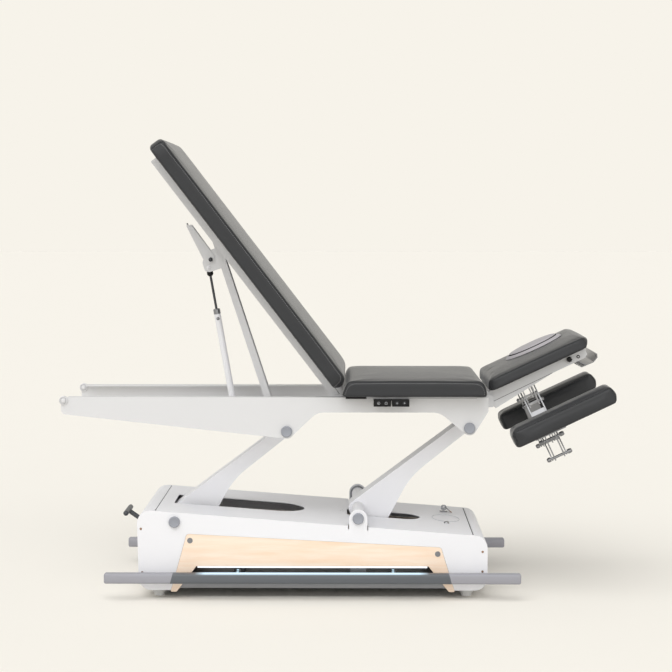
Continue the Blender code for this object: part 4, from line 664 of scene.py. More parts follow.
def merge(bm, other, matrix=None):
    """Adds one shape to another, at its own place."""
    if matrix is not None:
        other.transform(matrix)
    mesh = bpy.data.meshes.new("part")
    other.to_mesh(mesh)
    other.free()
    bm.from_mesh(mesh)
    bpy.data.meshes.remove(mesh)
    return bm


def facing(place, direction):
    """Matrix that puts a shape at a place with its Z axis along a direction."""
    turn = Vector(direction).to_track_quat("Z", "Y").to_matrix().to_4x4()
    return Matrix.Translation(place) @ turn


def turned(profile, sides, place, direction):
    """A turned shape and the matrix that stands it on a place, along a direction."""
    return lathe(profile, sides), facing(place, direction)


def solid_tree(node):
    mesh = NODES[node].data
    return BVHTree.FromPolygons([v.co for v in mesh.vertices], [tuple(p.vertices) for p in mesh.polygons])


def seat_on(node, start, direction, frame=TABLE):
    """The first place where a straight line, given in a frame, meets a node."""
    turn = frame.to_3x3()
    hit = solid_tree(node).ray_cast(frame @ Vector(start), turn @ Vector(direction))[0]
    if hit is None:
        raise RuntimeError(f"nothing of {node} there")
    return hit


def disc(radius, height, bevel, sunk=0.0005):
    """Profile of a round plate that stands on its face."""
    return [(0.0, height), (radius - bevel, height), (radius, height - bevel), (radius, -sunk), (0.0, -sunk)]


def dome(radius, height, steps=6, sunk=0.0005):
    """Profile of a rounded cap."""
    arc = [
        (radius * math.sin(math.pi / 2 * step / steps), height * math.cos(math.pi / 2 * step / steps))
        for step in range(steps + 1)
    ]
    return arc + [(radius, -sunk), (0.0, -sunk)]


def dressed(name, body, material, shapes, angle=40.0):
    """One object from shapes, each with its matrix, riding on a body."""
    bm = bmesh.new()
    for shape, matrix in shapes:
        merge(bm, shape, matrix)
    made = smooth(shape_object(name, bm, [material]), angle)
    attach(made, body)
    return made


class Cushion:
    """A CAD cushion made soft: remeshed, swollen under pressure, then seamed along both of its sides."""

    def __init__(self, node, frame, name):
        self.node = node
        self.frame = frame
        self.name = name
        inverse = frame.inverted()
        self.points = [inverse @ vertex.co for vertex in NODES[node].data.vertices]
        self.low = Vector([min(p[i] for p in self.points) for i in range(3)])
        self.high = Vector([max(p[i] for p in self.points) for i in range(3)])
        self.base = self.low.z
        side = [p.z for p in self.points if abs(p.y - self.low.y) < 0.0005]
        self.edge_drop = self.high.z - max(side)

    def fill(self, voxel):
        bm = merged_copy(self.node)
        obj = shape_object(self.name, bm, [vinyl()])
        remesh = obj.modifiers.new("Remesh", "REMESH")
        remesh.mode = "VOXEL"
        remesh.voxel_size = voxel
        baked(obj)
        group = obj.vertex_groups.new(name="held")
        places = places_of(obj.data)
        height = in_frame(self.frame, places)[:, 2] - self.base
        inward = SHRINK * np.clip((height - HELD_HEIGHT) / SHRINK_RISE, 0.0, 1.0)
        start = places - normals_of(obj.data) * inward[:, None]
        set_places(obj.data, start)
        group.add(np.flatnonzero(height < HELD_HEIGHT).tolist(), 1.0, "REPLACE")
        self.simulate(obj)
        move = places_of(obj.data) - start
        length = np.linalg.norm(move, axis=1)
        share = np.minimum(1.0, LARGEST_MOVE / np.maximum(length, 1e-9))
        set_places(obj.data, start + move * share[:, None])
        obj.vertex_groups.clear()
        relax = obj.modifiers.new("Relax", "SMOOTH")
        relax.factor = 0.5
        relax.iterations = 3
        soft = obj.modifiers.new("Subdivision", "SUBSURF")
        soft.levels = 1
        soft.render_levels = 1
        baked(obj)
        obj.data.shade_smooth()
        self.obj = obj
        self.tree = BVHTree.FromPolygons(
            [vertex.co for vertex in obj.data.vertices], [tuple(p.vertices) for p in obj.data.polygons]
        )

    def simulate(self, obj):
        cloth = obj.modifiers.new("Cloth", "CLOTH")
        settings = cloth.settings
        settings.quality = 5
        settings.mass = 0.3
        settings.tension_stiffness = 25
        settings.compression_stiffness = 25
        settings.shear_stiffness = 10
        settings.bending_stiffness = 1.0
        settings.use_pressure = True
        settings.uniform_pressure_force = bpy.context.scene.table_upholstery.pressure
        settings.vertex_group_mass = "held"
        settings.effector_weights.gravity = 0.0
        cloth.point_cache.frame_start = 1
        cloth.point_cache.frame_end = FILL_FRAMES
        for frame in range(1, FILL_FRAMES + 1):
            bpy.context.scene.frame_set(frame)
        graph = bpy.context.evaluated_depsgraph_get()
        moved = places_of(obj.evaluated_get(graph).to_mesh())
        obj.modifiers.clear()
        set_places(obj.data, moved)
        bpy.context.scene.frame_set(1)

    def outline(self):
        """The side profile above the flat underside, from one lower corner over the top to the other."""
        flat = sorted({(round(p.x, 5), round(p.z, 5)) for p in self.points})

        def half(points):
            run = []
            for point in points:
                while len(run) > 1 and cross(run[-2], run[-1], point) <= 0:
                    run.pop()
                run.append(point)
            return run

        def cross(a, b, c):
            return (b[0] - a[0]) * (c[1] - a[1]) - (b[1] - a[1]) * (c[0] - a[0])

        hull = half(flat)[:-1] + half(flat[::-1])[:-1]
        start = min(range(len(hull)), key=lambda i: (hull[i][1] > self.base + 0.004, -hull[i][0]))
        return [Vector((a, 0.0, b)) for a, b in hull[start:] + hull[:start]]

    def run(self, y, spacing, lift=0.0, floor=0.010, inset=0.0):
        """Points on the swollen surface along the profile, or inside it by an inset, at one place across."""
        centre = (self.low.x + self.high.x) / 2
        narrow = 1 - 0.5 * inset / (self.high.x - centre)
        lower = 1 - inset / (self.high.z - self.base)
        loop = self.outline()
        loop.append(loop[0])
        places = []
        for first, second in zip(loop, loop[1:]):
            steps = max(1, round((second - first).length / spacing))
            places += [first.lerp(second, step / steps) for step in range(steps)]
        kept = [p for p in places if p.z > self.base + floor]
        split = max(range(len(kept)), key=lambda i: (kept[i] - kept[i - 1]).length)
        found = []
        for p in kept[split:] + kept[:split]:
            spot = Vector((centre + (p.x - centre) * narrow, y, self.base + (p.z - self.base) * lower))
            place, normal, _, _ = self.tree.find_nearest(self.frame @ spot)
            found.append(place + normal * lift)
        return found

    def seam(self, runs, depth, width=0.0045):
        """Sinks a seam into the surface along runs of points."""
        points = [point for run in runs for point in run]
        tree = KDTree(len(points))
        for index, point in enumerate(points):
            tree.insert(point, index)
        tree.balance()
        places = places_of(self.obj.data)
        distance = np.array([tree.find(place)[2] for place in places]) / width
        sink = depth * (1 - np.clip(distance, 0.0, 1.0) ** 2) ** 2
        set_places(self.obj.data, places - normals_of(self.obj.data) * sink[:, None])


class Tree(NodeBuilder):
    """A geometry node tree under construction."""

    def __init__(self, name, sizes):
        self.tree = bpy.data.node_groups.new(name, "GeometryNodeTree")
        self.tree.interface.new_socket(name="Geometry", in_out="INPUT", socket_type="NodeSocketGeometry")
        for key, value in sizes.items():
            socket = self.tree.interface.new_socket(name=key, in_out="INPUT", socket_type="NodeSocketFloat")
            socket.default_value = value
        self.tree.interface.new_socket(name="Geometry", in_out="OUTPUT", socket_type="NodeSocketGeometry")
        self.start = self.tree.nodes.new("NodeGroupInput")
        self.end = self.tree.nodes.new("NodeGroupOutput")

    def size(self, name):
        return self.start.outputs[name]

    def finish(self, geometry, material):
        real = self.node("GeometryNodeRealizeInstances", {0: geometry})
        painted = self.node("GeometryNodeSetMaterial", {"Geometry": real.outputs[0], "Material": material})
        self.tree.links.new(painted.outputs[0], self.end.inputs[0])

    def apply(self, obj):
        modifier = obj.modifiers.new(self.tree.name, "NODES")
        modifier.node_group = self.tree
        return baked(obj)


def stitch_tree():
    """Short capsules of thread laid at an even pitch along a run of points."""
    settings = bpy.context.scene.table_upholstery
    tree = Tree("Stitches", {
        "Pitch": settings.stitch_pitch, "Length": settings.stitch_length, "Radius": settings.stitch_radius,
    })
    curve = tree.node("GeometryNodeMeshToCurve", {0: tree.start.outputs[0]})
    even = tree.node(
        "GeometryNodeResampleCurve", {"Curve": curve.outputs[0], "Length": tree.size("Pitch")}, mode="LENGTH"
    )
    tangent = tree.node("GeometryNodeInputTangent")
    turn = tree.node("FunctionNodeAlignRotationToVector", {"Vector": tangent.outputs[0]}, axis="Z")
    core = tree.node("GeometryNodeMeshCylinder", {
        "Vertices": 6, "Radius": tree.size("Radius"), "Depth": tree.size("Length"),
    })
    laid = tree.node("GeometryNodeInstanceOnPoints", {
        "Points": even.outputs[0], "Instance": core.outputs[0], "Rotation": turn.outputs[0],
    })
    tree.finish(laid.outputs[0], thread())
    return tree


def stitch_line(tree, name, runs):
    bm = bmesh.new()
    for run in runs:
        verts = [bm.verts.new(point) for point in run]
        for first, second in zip(verts, verts[1:]):
            bm.edges.new((first, second))
    return tree.apply(shape_object(name, bm, [thread()]))


def upholster(node, frame, name, body, voxel, stitched=False):
    """A soft cushion with a seam and a welt along each side, stitched where that shows, tied to its body."""
    settings = bpy.context.scene.table_upholstery
    cushion = Cushion(node, frame, name)
    cushion.fill(voxel)
    inset = settings.seam_inset
    edges = [cushion.run(y, WELT_SPACING) for y in (cushion.low.y + inset, cushion.high.y - inset)]
    cushion.seam(edges, settings.seam_depth)
    bm = bmesh.new()
    for edge in edges:
        merge(bm, tube(edge, settings.piping_radius, 6))
    pieces = [cushion.obj, smooth(shape_object(name + "_piping", bm, [vinyl()]), 80)]
    if stitched:
        lift = settings.stitch_radius * 0.4
        drop = RUN_DROP * cushion.edge_drop
        sides = (cushion.low.y, cushion.high.y)
        runs = [cushion.run(y, RUN_SPACING, lift, RUN_FLOOR, drop) for y in sides]
        pieces.append(stitch_line(stitch_tree(), name + "_stitches", runs))
    for obj in pieces:
        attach(obj, body)
    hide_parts(cushion.node)


class TABLE_OT_finishes(bpy.types.Operator):
    """Give every piece of the frame its paint, metal, wood or plastic"""

    bl_idname = "table.finishes"
    bl_label = "Finishes"

    def execute(self, context):
        for name, obj in NODES.items():
            best = None
            for finish, prefixes in FINISHES.items():
                for prefix in prefixes:
                    if name.startswith(prefix) and (best is None or len(prefix) > best[0]):
                        best = (len(prefix), finish)
            if best is None:
                raise RuntimeError(f"no finish for {name}")
            obj.data.materials.clear()
            obj.data.materials.append(best[1]())
        return {"FINISHED"}


class TABLE_OT_seat_cushion(bpy.types.Operator):
    """Make the seat cushion with its seams and stitches"""

    bl_idname = "table.seat_cushion"
    bl_label = "Seat cushion"

    def execute(self, context):
        upholster("seat_cushion", TABLE, "seat_upholstery", "upper_frame", 0.007, True)
        return {"FINISHED"}


class TABLE_OT_long_cushion(bpy.types.Operator):
    """Make the long section's cushion with its seams and stitches"""

    bl_idname = "table.long_cushion"
    bl_label = "Long cushion"

    def execute(self, context):
        upholster("long_section_cushion", SECTION, "long_upholstery", "long_section", 0.008, True)
        return {"FINISHED"}


class TABLE_OT_head_cushion(bpy.types.Operator):
    """Make the head cushion round its face opening"""

    bl_idname = "table.head_cushion"
    bl_label = "Head cushion"

    def execute(self, context):
        upholster("head_cushion", HEAD, "head_upholstery", "head_section", 0.006)
        return {"FINISHED"}


class TABLE_OT_armrest_pads(bpy.types.Operator):
    """Make both armrest pads"""

    bl_idname = "table.armrest_pads"
    bl_label = "Armrest pads"

    def execute(self, context):
        for side in ("near", "far"):
            pad, soft, body = f"armrest_pad_{side}", f"armrest_upholstery_{side}", f"armrest_carrier_{side}"
            upholster(pad, HEAD, soft, body, 0.0055)
        return {"FINISHED"}


class TABLE_OT_face_plug(bpy.types.Operator):
    """Make the plug of the face opening: a flat ring, a gap painted black as its shade and a domed middle"""

    bl_idname = "table.face_plug"
    bl_label = "Face plug"

    def execute(self, context):
        inverse = HEAD.inverted()
        points = [inverse @ vertex.co for vertex in NODES["face_hole_plug"].data.vertices]
        centre = (min(p.x for p in points) + max(p.x for p in points)) / 2
        half_u = (max(p.x for p in points) - min(p.x for p in points)) / 2
        half_y = max(p.y for p in points)
        top = max(p.z for p in points)
        foot = min(p.z for p in points)
        seat = top - PLUG_DOME
        rings = [
            (0.74, foot), (0.80, foot + 0.004), (0.83, seat - 0.006), (0.87, seat + 0.0003),
            (1.00, seat + 0.0003), (1.010, seat + 0.0018), (0.985, seat + 0.0045), (0.920, seat + 0.0085),
            (0.860, seat + 0.0105), (0.845, seat + 0.0092), (0.841, seat - 0.002), (0.800, seat - 0.002),
            (0.797, seat + 0.0130), (0.785, seat + 0.0150), (0.71, seat + 0.0172), (0.58, seat + 0.0190),
            (0.40, seat + 0.0202), (0.2, seat + 0.0208),
        ]
        # The gap's walls and floor take the second, near-black material: painted shade in the slit
        gap = range(9, 12)
        bm = bmesh.new()
        loops = []
        for share, height in rings:
            inset = (1 - share) * half_y
            loops.append([
                bm.verts.new(HEAD @ Vector((centre + (half_u - inset) * c, (half_y - inset) * s, height)))
                for c, s in turns(PLUG_SIDES)
            ])
        for index, (lower, upper) in enumerate(zip(loops, loops[1:])):
            for face in bridge(bm, lower, upper):
                face.material_index = 1 if index in gap else 0
        bm.faces.new(loops[0][::-1])
        bridge(bm, loops[-1], [bm.verts.new(HEAD @ Vector((centre, 0.0, seat + 0.0210)))])
        bmesh.ops.recalc_face_normals(bm, faces=bm.faces)
        plug = smooth(shape_object("face_plug_cover", bm, [cover_cloth(), dark_joints_and_painted_shade()]), 60)
        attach(plug, "face_hole_plug")
        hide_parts("face_hole_plug")
        return {"FINISHED"}


class TABLE_OT_foot_bars(bpy.types.Operator):
    """Make the foot bars with grey ends and a slate middle with a painted glow on its top"""

    bl_idname = "table.foot_bars"
    bl_label = "Foot bars"

    def execute(self, context):
        for side in ("near", "far"):
            bm = merged_copy(f"foot_bar_{side}")
            panel_low, panel_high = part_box(f"wood_panel_{side}")
            start = panel_low.x + MIDDLE_START
            end = panel_high.x - MIDDLE_END
            for x, lean in ((start, MIDDLE_LEAN), (end, -MIDDLE_LEAN)):
                geometry = bm.verts[:] + bm.edges[:] + bm.faces[:]
                place = (x, 0.0, LEAN_HEIGHT)
                normal = Vector((1.0, 0.0, -lean)).normalized()
                bmesh.ops.bisect_plane(bm, geom=geometry, plane_co=place, plane_no=normal, dist=1e-6)
            for face in bm.faces:
                middle = face.calc_center_median()
                shift = (middle.z - LEAN_HEIGHT) * MIDDLE_LEAN
                face.material_index = 1 if start + shift < middle.x < end - shift else 0
            bar = smooth(shape_object(f"foot_bar_cover_{side}", bm, [bar_end(), bar_middle()]), 50)
            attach(bar, f"foot_bar_{side}")
            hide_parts(f"foot_bar_{side}")
        return {"FINISHED"}


class TABLE_OT_axle_caps(bpy.types.Operator):
    """Cover each end of the four main axles with a dished plastic cap"""

    bl_idname = "table.axle_caps"
    bl_label = "Axle caps"

    def execute(self, context):
        for node, body in (
            ("lower_axle_foot", "base"), ("lower_axle_head", "base"),
            ("upper_axle_foot", "upper_frame"), ("upper_axle_head", "upper_frame"),
        ):
            low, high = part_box(node)
            centre = (low + high) / 2
            radius = (high.x - low.x) / 2
            bm = bmesh.new()
            profile = [
                (0.0, 0.0008), (radius * 0.80, 0.0008), (radius * 0.88, 0.0016), (radius * 0.95, 0.0012),
                (radius + 0.0008, -0.0010), (radius + 0.0010, -0.0096), (radius - 0.001, -0.0098),
                (radius - 0.001, -0.0006), (0.0, -0.0006),
            ]
            for y, way in ((low.y, -1), (high.y, 1)):
                merge(bm, lathe(profile, 48), facing((centre.x, y, centre.z), (0, way, 0)))
            caps = smooth(shape_object(node + "_caps", bm, [cap_plastic()]))
            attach(caps, body)
        return {"FINISHED"}


def screw_tree(name, radius, depth, socket, material):
    """Round screw heads with a sunk drive, one on each point, facing along the point's normal."""
    tree = Tree(name, {"Radius": radius, "Depth": depth, "Drive": socket})
    deep = {"Depth": tree.size("Depth")}
    head = tree.node("GeometryNodeMeshCylinder", {"Vertices": 28, "Radius": tree.size("Radius"), **deep})
    drive = tree.node("GeometryNodeMeshCylinder", {"Vertices": 6, "Radius": tree.size("Drive"), **deep})
    lift = tree.node("ShaderNodeCombineXYZ", {"Z": tree.size("Depth")})
    shift = {"Geometry": drive.outputs[0], "Translation": lift.outputs[0]}
    raised = tree.node("GeometryNodeTransform", shift)
    half = tree.node("GeometryNodeTransform", {"Geometry": raised.outputs[0], "Scale": (1.0, 1.0, 0.7)})
    cut = tree.node("GeometryNodeMeshBoolean", {"Mesh 1": head.outputs[0]}, operation="DIFFERENCE")
    tree.tree.links.new(half.outputs[0], cut.inputs["Mesh 2"])
    normal = tree.node("GeometryNodeInputNormal")
    turn = tree.node("FunctionNodeAlignRotationToVector", {"Vector": normal.outputs[0]}, axis="Z")
    points = tree.node("GeometryNodeMeshToPoints", {0: tree.start.outputs[0]}, mode="FACES")
    placed = tree.node("GeometryNodeInstanceOnPoints", {
        "Points": points.outputs[0], "Instance": cut.outputs[0], "Rotation": turn.outputs[0],
    })
    kept = tree.node("GeometryNodeCaptureAttribute", {0: tree.start.outputs[0]})
    kept.domain = "FACE"
    kept.capture_items.new("VECTOR", "Facing")
    tree.tree.links.new(normal.outputs[0], kept.inputs[1])
    tree.tree.links.new(kept.outputs[0], points.inputs[0])
    tree.tree.links.new(kept.outputs[1], turn.inputs["Vector"])
    tree.finish(placed.outputs[0], material)
    return tree


def marker_faces(places):
    """Tiny faces that mark where screws go and which way they face."""
    bm = bmesh.new()
    for place, direction in places:
        matrix = facing(place, direction)
        corners = [matrix @ (Vector((a, b, 0)) * 0.001) for a, b in ((-1, -1), (1, -1), (1, 1), (-1, 1))]
        bm.faces.new([bm.verts.new(corner) for corner in corners])
    return bm


class TABLE_OT_screws(bpy.types.Operator):
    """Set the screws of the end covers and of the wood panels"""

    bl_idname = "table.screws"
    bl_label = "Screws"

    def execute(self, context):
        settings = context.scene.table_fittings
        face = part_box("base_side_plate_near")[0].y
        for name, spots, radius, depth, finish, slot in (
            ("cover_screws", COVER_SCREWS, settings.cover_screw_radius, 0.0016, brass(), "zinc_steel"),
            ("panel_screws", PANEL_SCREWS, settings.panel_screw_radius, 0.0020, zinc_steel(), "zinc_steel"),
        ):
            places = []
            for x, z in spots:
                places.append(((x, face, z), (0, -1, 0)))
                places.append(((x, -face, z), (0, 1, 0)))
            tree = screw_tree(name, radius, depth, radius * 0.45, finish)
            screws = tree.apply(shape_object(name, marker_faces(places), [finish]))
            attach(screws, "base")
        return {"FINISHED"}


class TABLE_OT_base_fittings(bpy.types.Operator):
    """Set the hatch, lock dome, key ring, seams and small holes of the base's top"""

    bl_idname = "table.base_fittings"
    bl_label = "Base fittings"

    def execute(self, context):
        settings = context.scene.table_fittings
        plate = "base_top_plate"

        def on_top(x, y):
            return seat_on(plate, (x, y, 1.0), (0, 0, -1))

        up = Vector((TOP_SLOPE, 0.0, 1.0)).normalized()
        rim = [
            on_top(HATCH_CENTRE[0] + settings.hatch_length * c, HATCH_CENTRE[1] + settings.hatch_width * s)
            + up * 0.0002
            for c, s in turns(64)
        ]
        lock = [
            (0.0, 0.0075), (0.005, 0.0070), (0.009, 0.0045), (0.0105, 0.001), (0.0105, -0.0005),
            (0.0, -0.0005),
        ]
        lock = turned(lock, 32, on_top(*LOCK_PLACE), up)
        hole = disc(0.0016, 0.0003, 0.0001)
        holes = [turned(hole, 12, on_top(*spot), up) for spot in SENSOR_HOLES]
        dressed("hatch_line", "base", cap_plastic(), [(tube(rim, 0.0007, 6, True), None)], 80)
        dressed("hatch_lock", "base", bright_steel(), [lock])
        dressed("sensor_holes", "base", black_plastic(), holes)
        seams = []
        low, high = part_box(plate)
        for x in (low.x - 0.0008, high.x - 0.0010):
            inner = min(max(x, low.x + 0.002), high.x - 0.002)
            near, far = on_top(inner, -SEAM_HALF_LENGTH), on_top(inner, SEAM_HALF_LENGTH)
            shift = Vector((x - inner, 0.0, -TOP_SLOPE * (x - inner) + 0.0001))
            seams.append((tube([near + shift, far + shift], 0.0011, 6), None))
            seams.append(turned(disc(0.0030, 0.0004, 0.0001), 16, near + shift, up))
        dressed("cover_seams", "base", dark_joints_and_painted_shade(), seams, 60)
        low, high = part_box("safety_key")
        hang = Vector((high.x - 0.004, (low.y + high.y) / 2, high.z - 0.010))
        radius = settings.key_ring_radius
        ring = []
        for c, s in turns(40):
            ring.append(hang + Vector((radius * (1 + c) * 0.75, radius * s, -radius * (1 + c) * 0.62)))
        ring = (tube(ring, 0.0009, 8, True), None)
        dressed("key_ring", "safety_key", bright_steel(), [ring], 80)
        turn = Matrix.Rotation(math.radians(38), 4, "Y")
        tag = Matrix.Translation(hang + Vector((0.0205, -0.002, -0.0170))) @ turn
        bow = lathe([(0.0, 0.001), (0.0105, 0.001), (0.0112, 0.0), (0.0105, -0.001), (0.0, -0.001)], 28)
        blade = bmesh.new()
        bmesh.ops.create_cube(blade, size=1.0)
        size = Matrix.Diagonal((0.024, 0.0062, 0.0016, 1.0))
        blade.transform(Matrix.Translation((0.018, 0.004, 0.0)) @ size)
        bmesh.ops.bevel(blade, geom=blade.edges[:], offset=0.0004, segments=2, affect="EDGES")
        dressed("spare_key", "safety_key", brass(), [(bow, tag), (blade, tag)])
        return {"FINISHED"}


class TABLE_OT_prop_fittings(bpy.types.Operator):
    """Set the bolt and pin caps of the prop's bracket and the gas spring's collar and end caps"""

    bl_idname = "table.prop_fittings"
    bl_label = "Prop fittings"

    def execute(self, context):
        low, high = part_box("gas_spring_rod")
        eye = Vector((low.x + 0.009, 0.0, high.z - 0.009))
        bolt = joint_place("release_lever_pull")
        bolts, pins = [], []
        for way in (-1, 1):
            face = (0, way, 0)
            for spot, radius, caps in ((bolt, 0.0078, bolts), (eye, 0.0070, pins)):
                place = seat_on("support_arm", (spot.x, way * 0.5, spot.z), (0, -way, 0))
                caps.append(turned(dome(radius, 0.0035), 28, place, face))
        dressed("prop_bolts", "support_arm", rod_steel(), bolts)
        dressed("prop_pins", "support_arm", base_paint(), pins)
        pivot = joint_place("gas_spring_tilt")
        along = (eye - pivot).normalized()
        cylinder = [along.dot(v.co - pivot) for v in NODES["gas_spring_cylinder"].data.vertices]
        end = pivot + along * max(cylinder)
        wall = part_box("gas_spring_cylinder")[1].y
        boot = [
            (0.0, 0.012), (0.0085, 0.012), (0.0115, 0.009), (0.0115, 0.0), (0.0075, -0.006), (0.0, -0.006),
        ]
        boot = turned(boot, 28, eye - along * 0.026, along)
        dressed("gas_spring_boot", "gas_spring_rod", black_plastic(), [boot])
        cap = [
            (0.0072, 0.0055), (wall - 0.002, 0.0055), (wall + 0.0006, 0.0030), (wall + 0.0006, -0.0140),
            (wall - 0.001, -0.0145), (wall - 0.001, 0.0), (0.0072, 0.0), (0.0072, 0.0055),
        ]
        shapes = [turned(cap, 32, end, along)]
        for way in (-1, 1):
            place = end - along * 0.031 + Vector((0, way * (wall - 0.0012), 0))
            shapes.append(turned(dome(0.0062, 0.0050), 24, place, (0, way, 0)))
        dressed("gas_spring_cap", "gas_spring_cylinder", link_steel(), shapes)
        return {"FINISHED"}


class TABLE_OT_head_fittings(bpy.types.Operator):
    """Set the bushings, the lock ring and the gusset line of the head frame, and the lobes of its knob"""

    bl_idname = "table.head_fittings"
    bl_label = "Head fittings"

    def execute(self, context):
        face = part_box("head_frame")[1].y
        collars, hubs, lines = [], [], []
        for way in (-1, 1):
            def stood(radius, height, bevel, sides, u, n):
                """A disc on the side of the head frame, at a place in the head's own coordinates."""
                place = HEAD @ Vector((u, way * face, n))
                return turned(disc(radius, height, bevel), sides, place, (0, way, 0))

            collars.append(stood(0.0100, 0.0012, 0.0004, 32, 0.0, 0.0))
            hubs.append(stood(0.0058, 0.0018, 0.0004, 28, 0.0, 0.0))
            hubs.append(stood(0.0062, 0.0014, 0.0004, 28, 0.345, 0.0025))
            collars.append(stood(0.0030, 0.0022, 0.0005, 24, 0.345, 0.0025))
            line = ((0.000, -0.0155), (0.120, -0.0135), (0.238, -0.0118))
            lines.append((tube([HEAD @ Vector((u, way * face, n)) for u, n in line], 0.0008, 6), None))
        dressed("head_bushings", "head_section", frame_paint(), collars)
        dressed("head_hubs", "head_section", black_plastic(), hubs)
        dressed("head_gusset_lines", "head_section", dark_joints_and_painted_shade(), lines, 60)
        settings = context.scene.table_fittings
        low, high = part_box("head_clamp_knob")
        centre = (low + high) / 2
        radius = (high.x - low.x) / 2
        lobe = [(0.0, 0.0018), (0.0012, 0.0016), (0.0018, 0.0008), (0.0018, -0.008), (0.0, -0.008)]
        lobes = []
        for c, s in turns(settings.knob_lobes):
            place = Vector((centre.x + radius * 0.92 * c, low.y + 0.0018, centre.z + radius * 0.92 * s))
            lobes.append(turned(lobe, 10, place, (0, -1, 0)))
        dressed("knob_grips", "head_clamp_knob", black_plastic(), lobes)
        return {"FINISHED"}


class TABLE_OT_armrest_fittings(bpy.types.Operator):
    """Put dome nuts on the armrest pins, with black knobs instead on the head ends of the pad's pins"""

    bl_idname = "table.armrest_fittings"
    bl_label = "Armrest fittings"

    def execute(self, context):
        radius = context.scene.table_fittings.pin_knob_radius
        ball = [
            (0.0, radius * 1.7), (radius * 0.6, radius * 1.5), (radius, radius * 0.9),
            (radius * 0.85, radius * 0.25), (radius * 0.5, -0.0005), (0.0, -0.0005),
        ]
        along = HEAD.to_3x3() @ Vector((1, 0, 0))
        inverse = HEAD.inverted()

        def at_end(u, pin):
            return HEAD @ Vector((u, pin.y, pin.z))

        for side in ("near", "far"):
            swing = inverse @ joint_place(f"armrest_{side}_swing")
            lower = inverse @ joint_place(f"armrest_{side}_level")
            second = inverse @ joint_place(f"armrest_{side}_inner_link")
            reach = [(inverse @ v.co).x for v in NODES[f"armrest_link_outer_{side}"].data.vertices]
            start, end = min(reach) - 0.006, max(reach) + 0.006
            for name, pins, body, knobs in (
                ("head", (swing, second), "head_section", False),
                ("pad", (lower, second + lower - swing), f"armrest_carrier_{side}", True),
            ):
                nuts, balls = [], []
                for pin in pins:
                    nuts.append(turned(dome(0.0078, 0.0085), 20, at_end(start, pin), -along))
                    if knobs:
                        balls.append(turned(ball, 20, at_end(end, pin), along))
                    else:
                        nuts.append(turned(dome(0.0070, 0.0050), 20, at_end(end, pin), along))
                dressed(f"armrest_nuts_{name}_{side}", body, link_steel(), nuts)
                if balls:
                    dressed(f"armrest_knobs_{side}", body, black_plastic(), balls)
        return {"FINISHED"}


class TABLE_OT_button_prints(bpy.types.Operator):
    """Print plain rings and arrows on the four buttons"""

    bl_idname = "table.button_prints"
    bl_label = "Button prints"

    def execute(self, context):
        for node in ("button_light", "button_memory", "button_up", "button_down"):
            low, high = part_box(node)
            centre = Vector(((low.x + high.x) / 2, low.y, (low.z + high.z) / 2))
            shapes = []
            if node in ("button_light", "button_memory"):
                ring = [centre + Vector((0.0042 * c, 0.0, 0.0042 * s)) for c, s in turns(24)]
                shapes.append((tube(ring, 0.0005, 6, True), None))
                if node == "button_light":
                    shapes.append(turned(disc(0.0013, 0.0003, 0.0001), 12, centre, (0, -1, 0)))
            else:
                way = 1 if node == "button_up" else -1
                head = [(-0.0034, -0.0012), (0.0, 0.0026), (0.0034, -0.0012)]
                shaft = [(0.0, 0.0020), (0.0, -0.0038)]
                for run in (head, shaft):
                    places = [centre + Vector((x, 0.0, z * way)) for x, z in run]
                    shapes.append((tube(places, 0.0005, 6), None))
            dressed(node + "_print", node, print_ink(), shapes, 60)
        return {"FINISHED"}


def studio_world(settings):
    """Soft light from all round, with the backdrop's colour where a camera, gloss or clear ray sees it."""
    world = bpy.data.worlds.new("studio")
    world.use_nodes = True
    nodes = world.node_tree.nodes
    links = world.node_tree.links
    soft = nodes["Background"]
    soft.inputs["Color"].default_value = (1.0, 1.0, 1.0, 1.0)
    soft.inputs["Strength"].default_value = settings.soft_light
    seen = nodes.new("ShaderNodeBackground")
    seen.inputs["Color"].default_value = rgba(settings.backdrop)
    path = nodes.new("ShaderNodeLightPath")
    mix = nodes.new("ShaderNodeMixShader")
    straight = path.outputs["Is Camera Ray"]
    for kind in ("Is Glossy Ray", "Is Transmission Ray"):
        either = nodes.new("ShaderNodeMath")
        either.operation = "MAXIMUM"
        links.new(straight, either.inputs[0])
        links.new(path.outputs[kind], either.inputs[1])
        straight = either.outputs[0]
    links.new(straight, mix.inputs[0])
    links.new(soft.outputs[0], mix.inputs[1])
    links.new(seen.outputs[0], mix.inputs[2])
    links.new(mix.outputs[0], nodes["World Output"].inputs[0])
    return world


def lamp(name, tip, lean, power, spread):
    """A broad, distant light, turned by angles in degrees."""
    made = bpy.data.lights.new(name, "SUN")
    made.energy = power
    made.angle = math.radians(spread)
    holder = bpy.data.objects.new(name, made)
    holder.rotation_euler = (math.radians(tip), math.radians(lean), 0.0)
    bpy.context.scene.collection.objects.link(holder)


def photo_camera(settings):
    made = bpy.data.cameras.new("photo_camera")
    made.lens = settings.lens
    made.sensor_width = 36.0
    made.clip_end = 200.0
    holder = bpy.data.objects.new("photo_camera", made)
    holder.location = (settings.camera_side, -settings.camera_distance, settings.camera_height)
    holder.rotation_euler = (math.radians(90) - settings.pitch, 0.0, settings.yaw)
    bpy.context.scene.collection.objects.link(holder)
    return holder


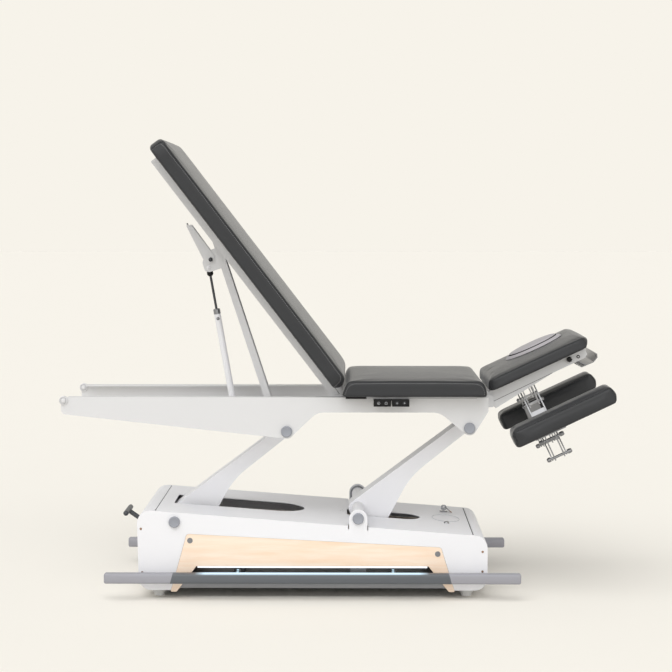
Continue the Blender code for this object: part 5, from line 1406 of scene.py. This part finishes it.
class TABLE_OT_stage(bpy.types.Operator):
    """Set the floor, the soft studio light and the photograph's camera"""

    bl_idname = "table.stage"
    bl_label = "Stage"

    def execute(self, context):
        scene = context.scene
        settings = scene.table_stage
        bm = bmesh.new()
        bmesh.ops.create_grid(bm, x_segments=2, y_segments=2, size=60.0)
        made = Surface("floor_paint", 0.9)
        made.feed("Specular IOR Level", 0.0)
        dark, pale = rgba(settings.floor, 0.995), rgba(settings.floor)
        made.feed("Base Color", made.blend(made.noise(3.0), dark, pale))
        floor = shape_object("floor", bm, [made.material])
        scene.world = studio_world(settings)
        lamp("key", 28, -18, settings.key_light, 60)
        lamp("fill", 72, 14, settings.fill_light, 90)
        scene.camera = photo_camera(settings)
        scene.view_settings.view_transform = "Standard"
        return {"FINISHED"}


OPERATORS = (
    TABLE_OT_stage, TABLE_OT_finishes, TABLE_OT_seat_cushion, TABLE_OT_long_cushion, TABLE_OT_head_cushion,
    TABLE_OT_armrest_pads, TABLE_OT_face_plug, TABLE_OT_foot_bars, TABLE_OT_axle_caps, TABLE_OT_screws,
    TABLE_OT_base_fittings, TABLE_OT_prop_fittings, TABLE_OT_head_fittings, TABLE_OT_armrest_fittings,
    TABLE_OT_button_prints,
)


class TABLE_PT_looks(bpy.types.Panel):
    bl_label = "Treatment table"
    bl_idname = "TABLE_PT_looks"
    bl_space_type = "VIEW_3D"
    bl_region_type = "UI"
    bl_category = "Table"

    def draw(self, context):
        for name, group in GROUPS.items():
            column = self.layout.column(align=True)
            for key in group.__annotations__:
                column.prop(getattr(context.scene, name), key)
        for operator in OPERATORS:
            self.layout.operator(operator.bl_idname)


def register():
    for name, group in GROUPS.items():
        bpy.utils.register_class(group)
        setattr(bpy.types.Scene, name, PointerProperty(type=group))
    for operator in OPERATORS:
        bpy.utils.register_class(operator)
    bpy.utils.register_class(TABLE_PT_looks)


def unregister():
    bpy.utils.unregister_class(TABLE_PT_looks)
    for operator in reversed(OPERATORS):
        bpy.utils.unregister_class(operator)
    for name, group in reversed(GROUPS.items()):
        delattr(bpy.types.Scene, name)
        bpy.utils.unregister_class(group)


def main():
    register()
    for operator in OPERATORS:
        group, name = operator.bl_idname.split(".")
        getattr(getattr(bpy.ops, group), name)()


if __name__ == "__main__":
    main()
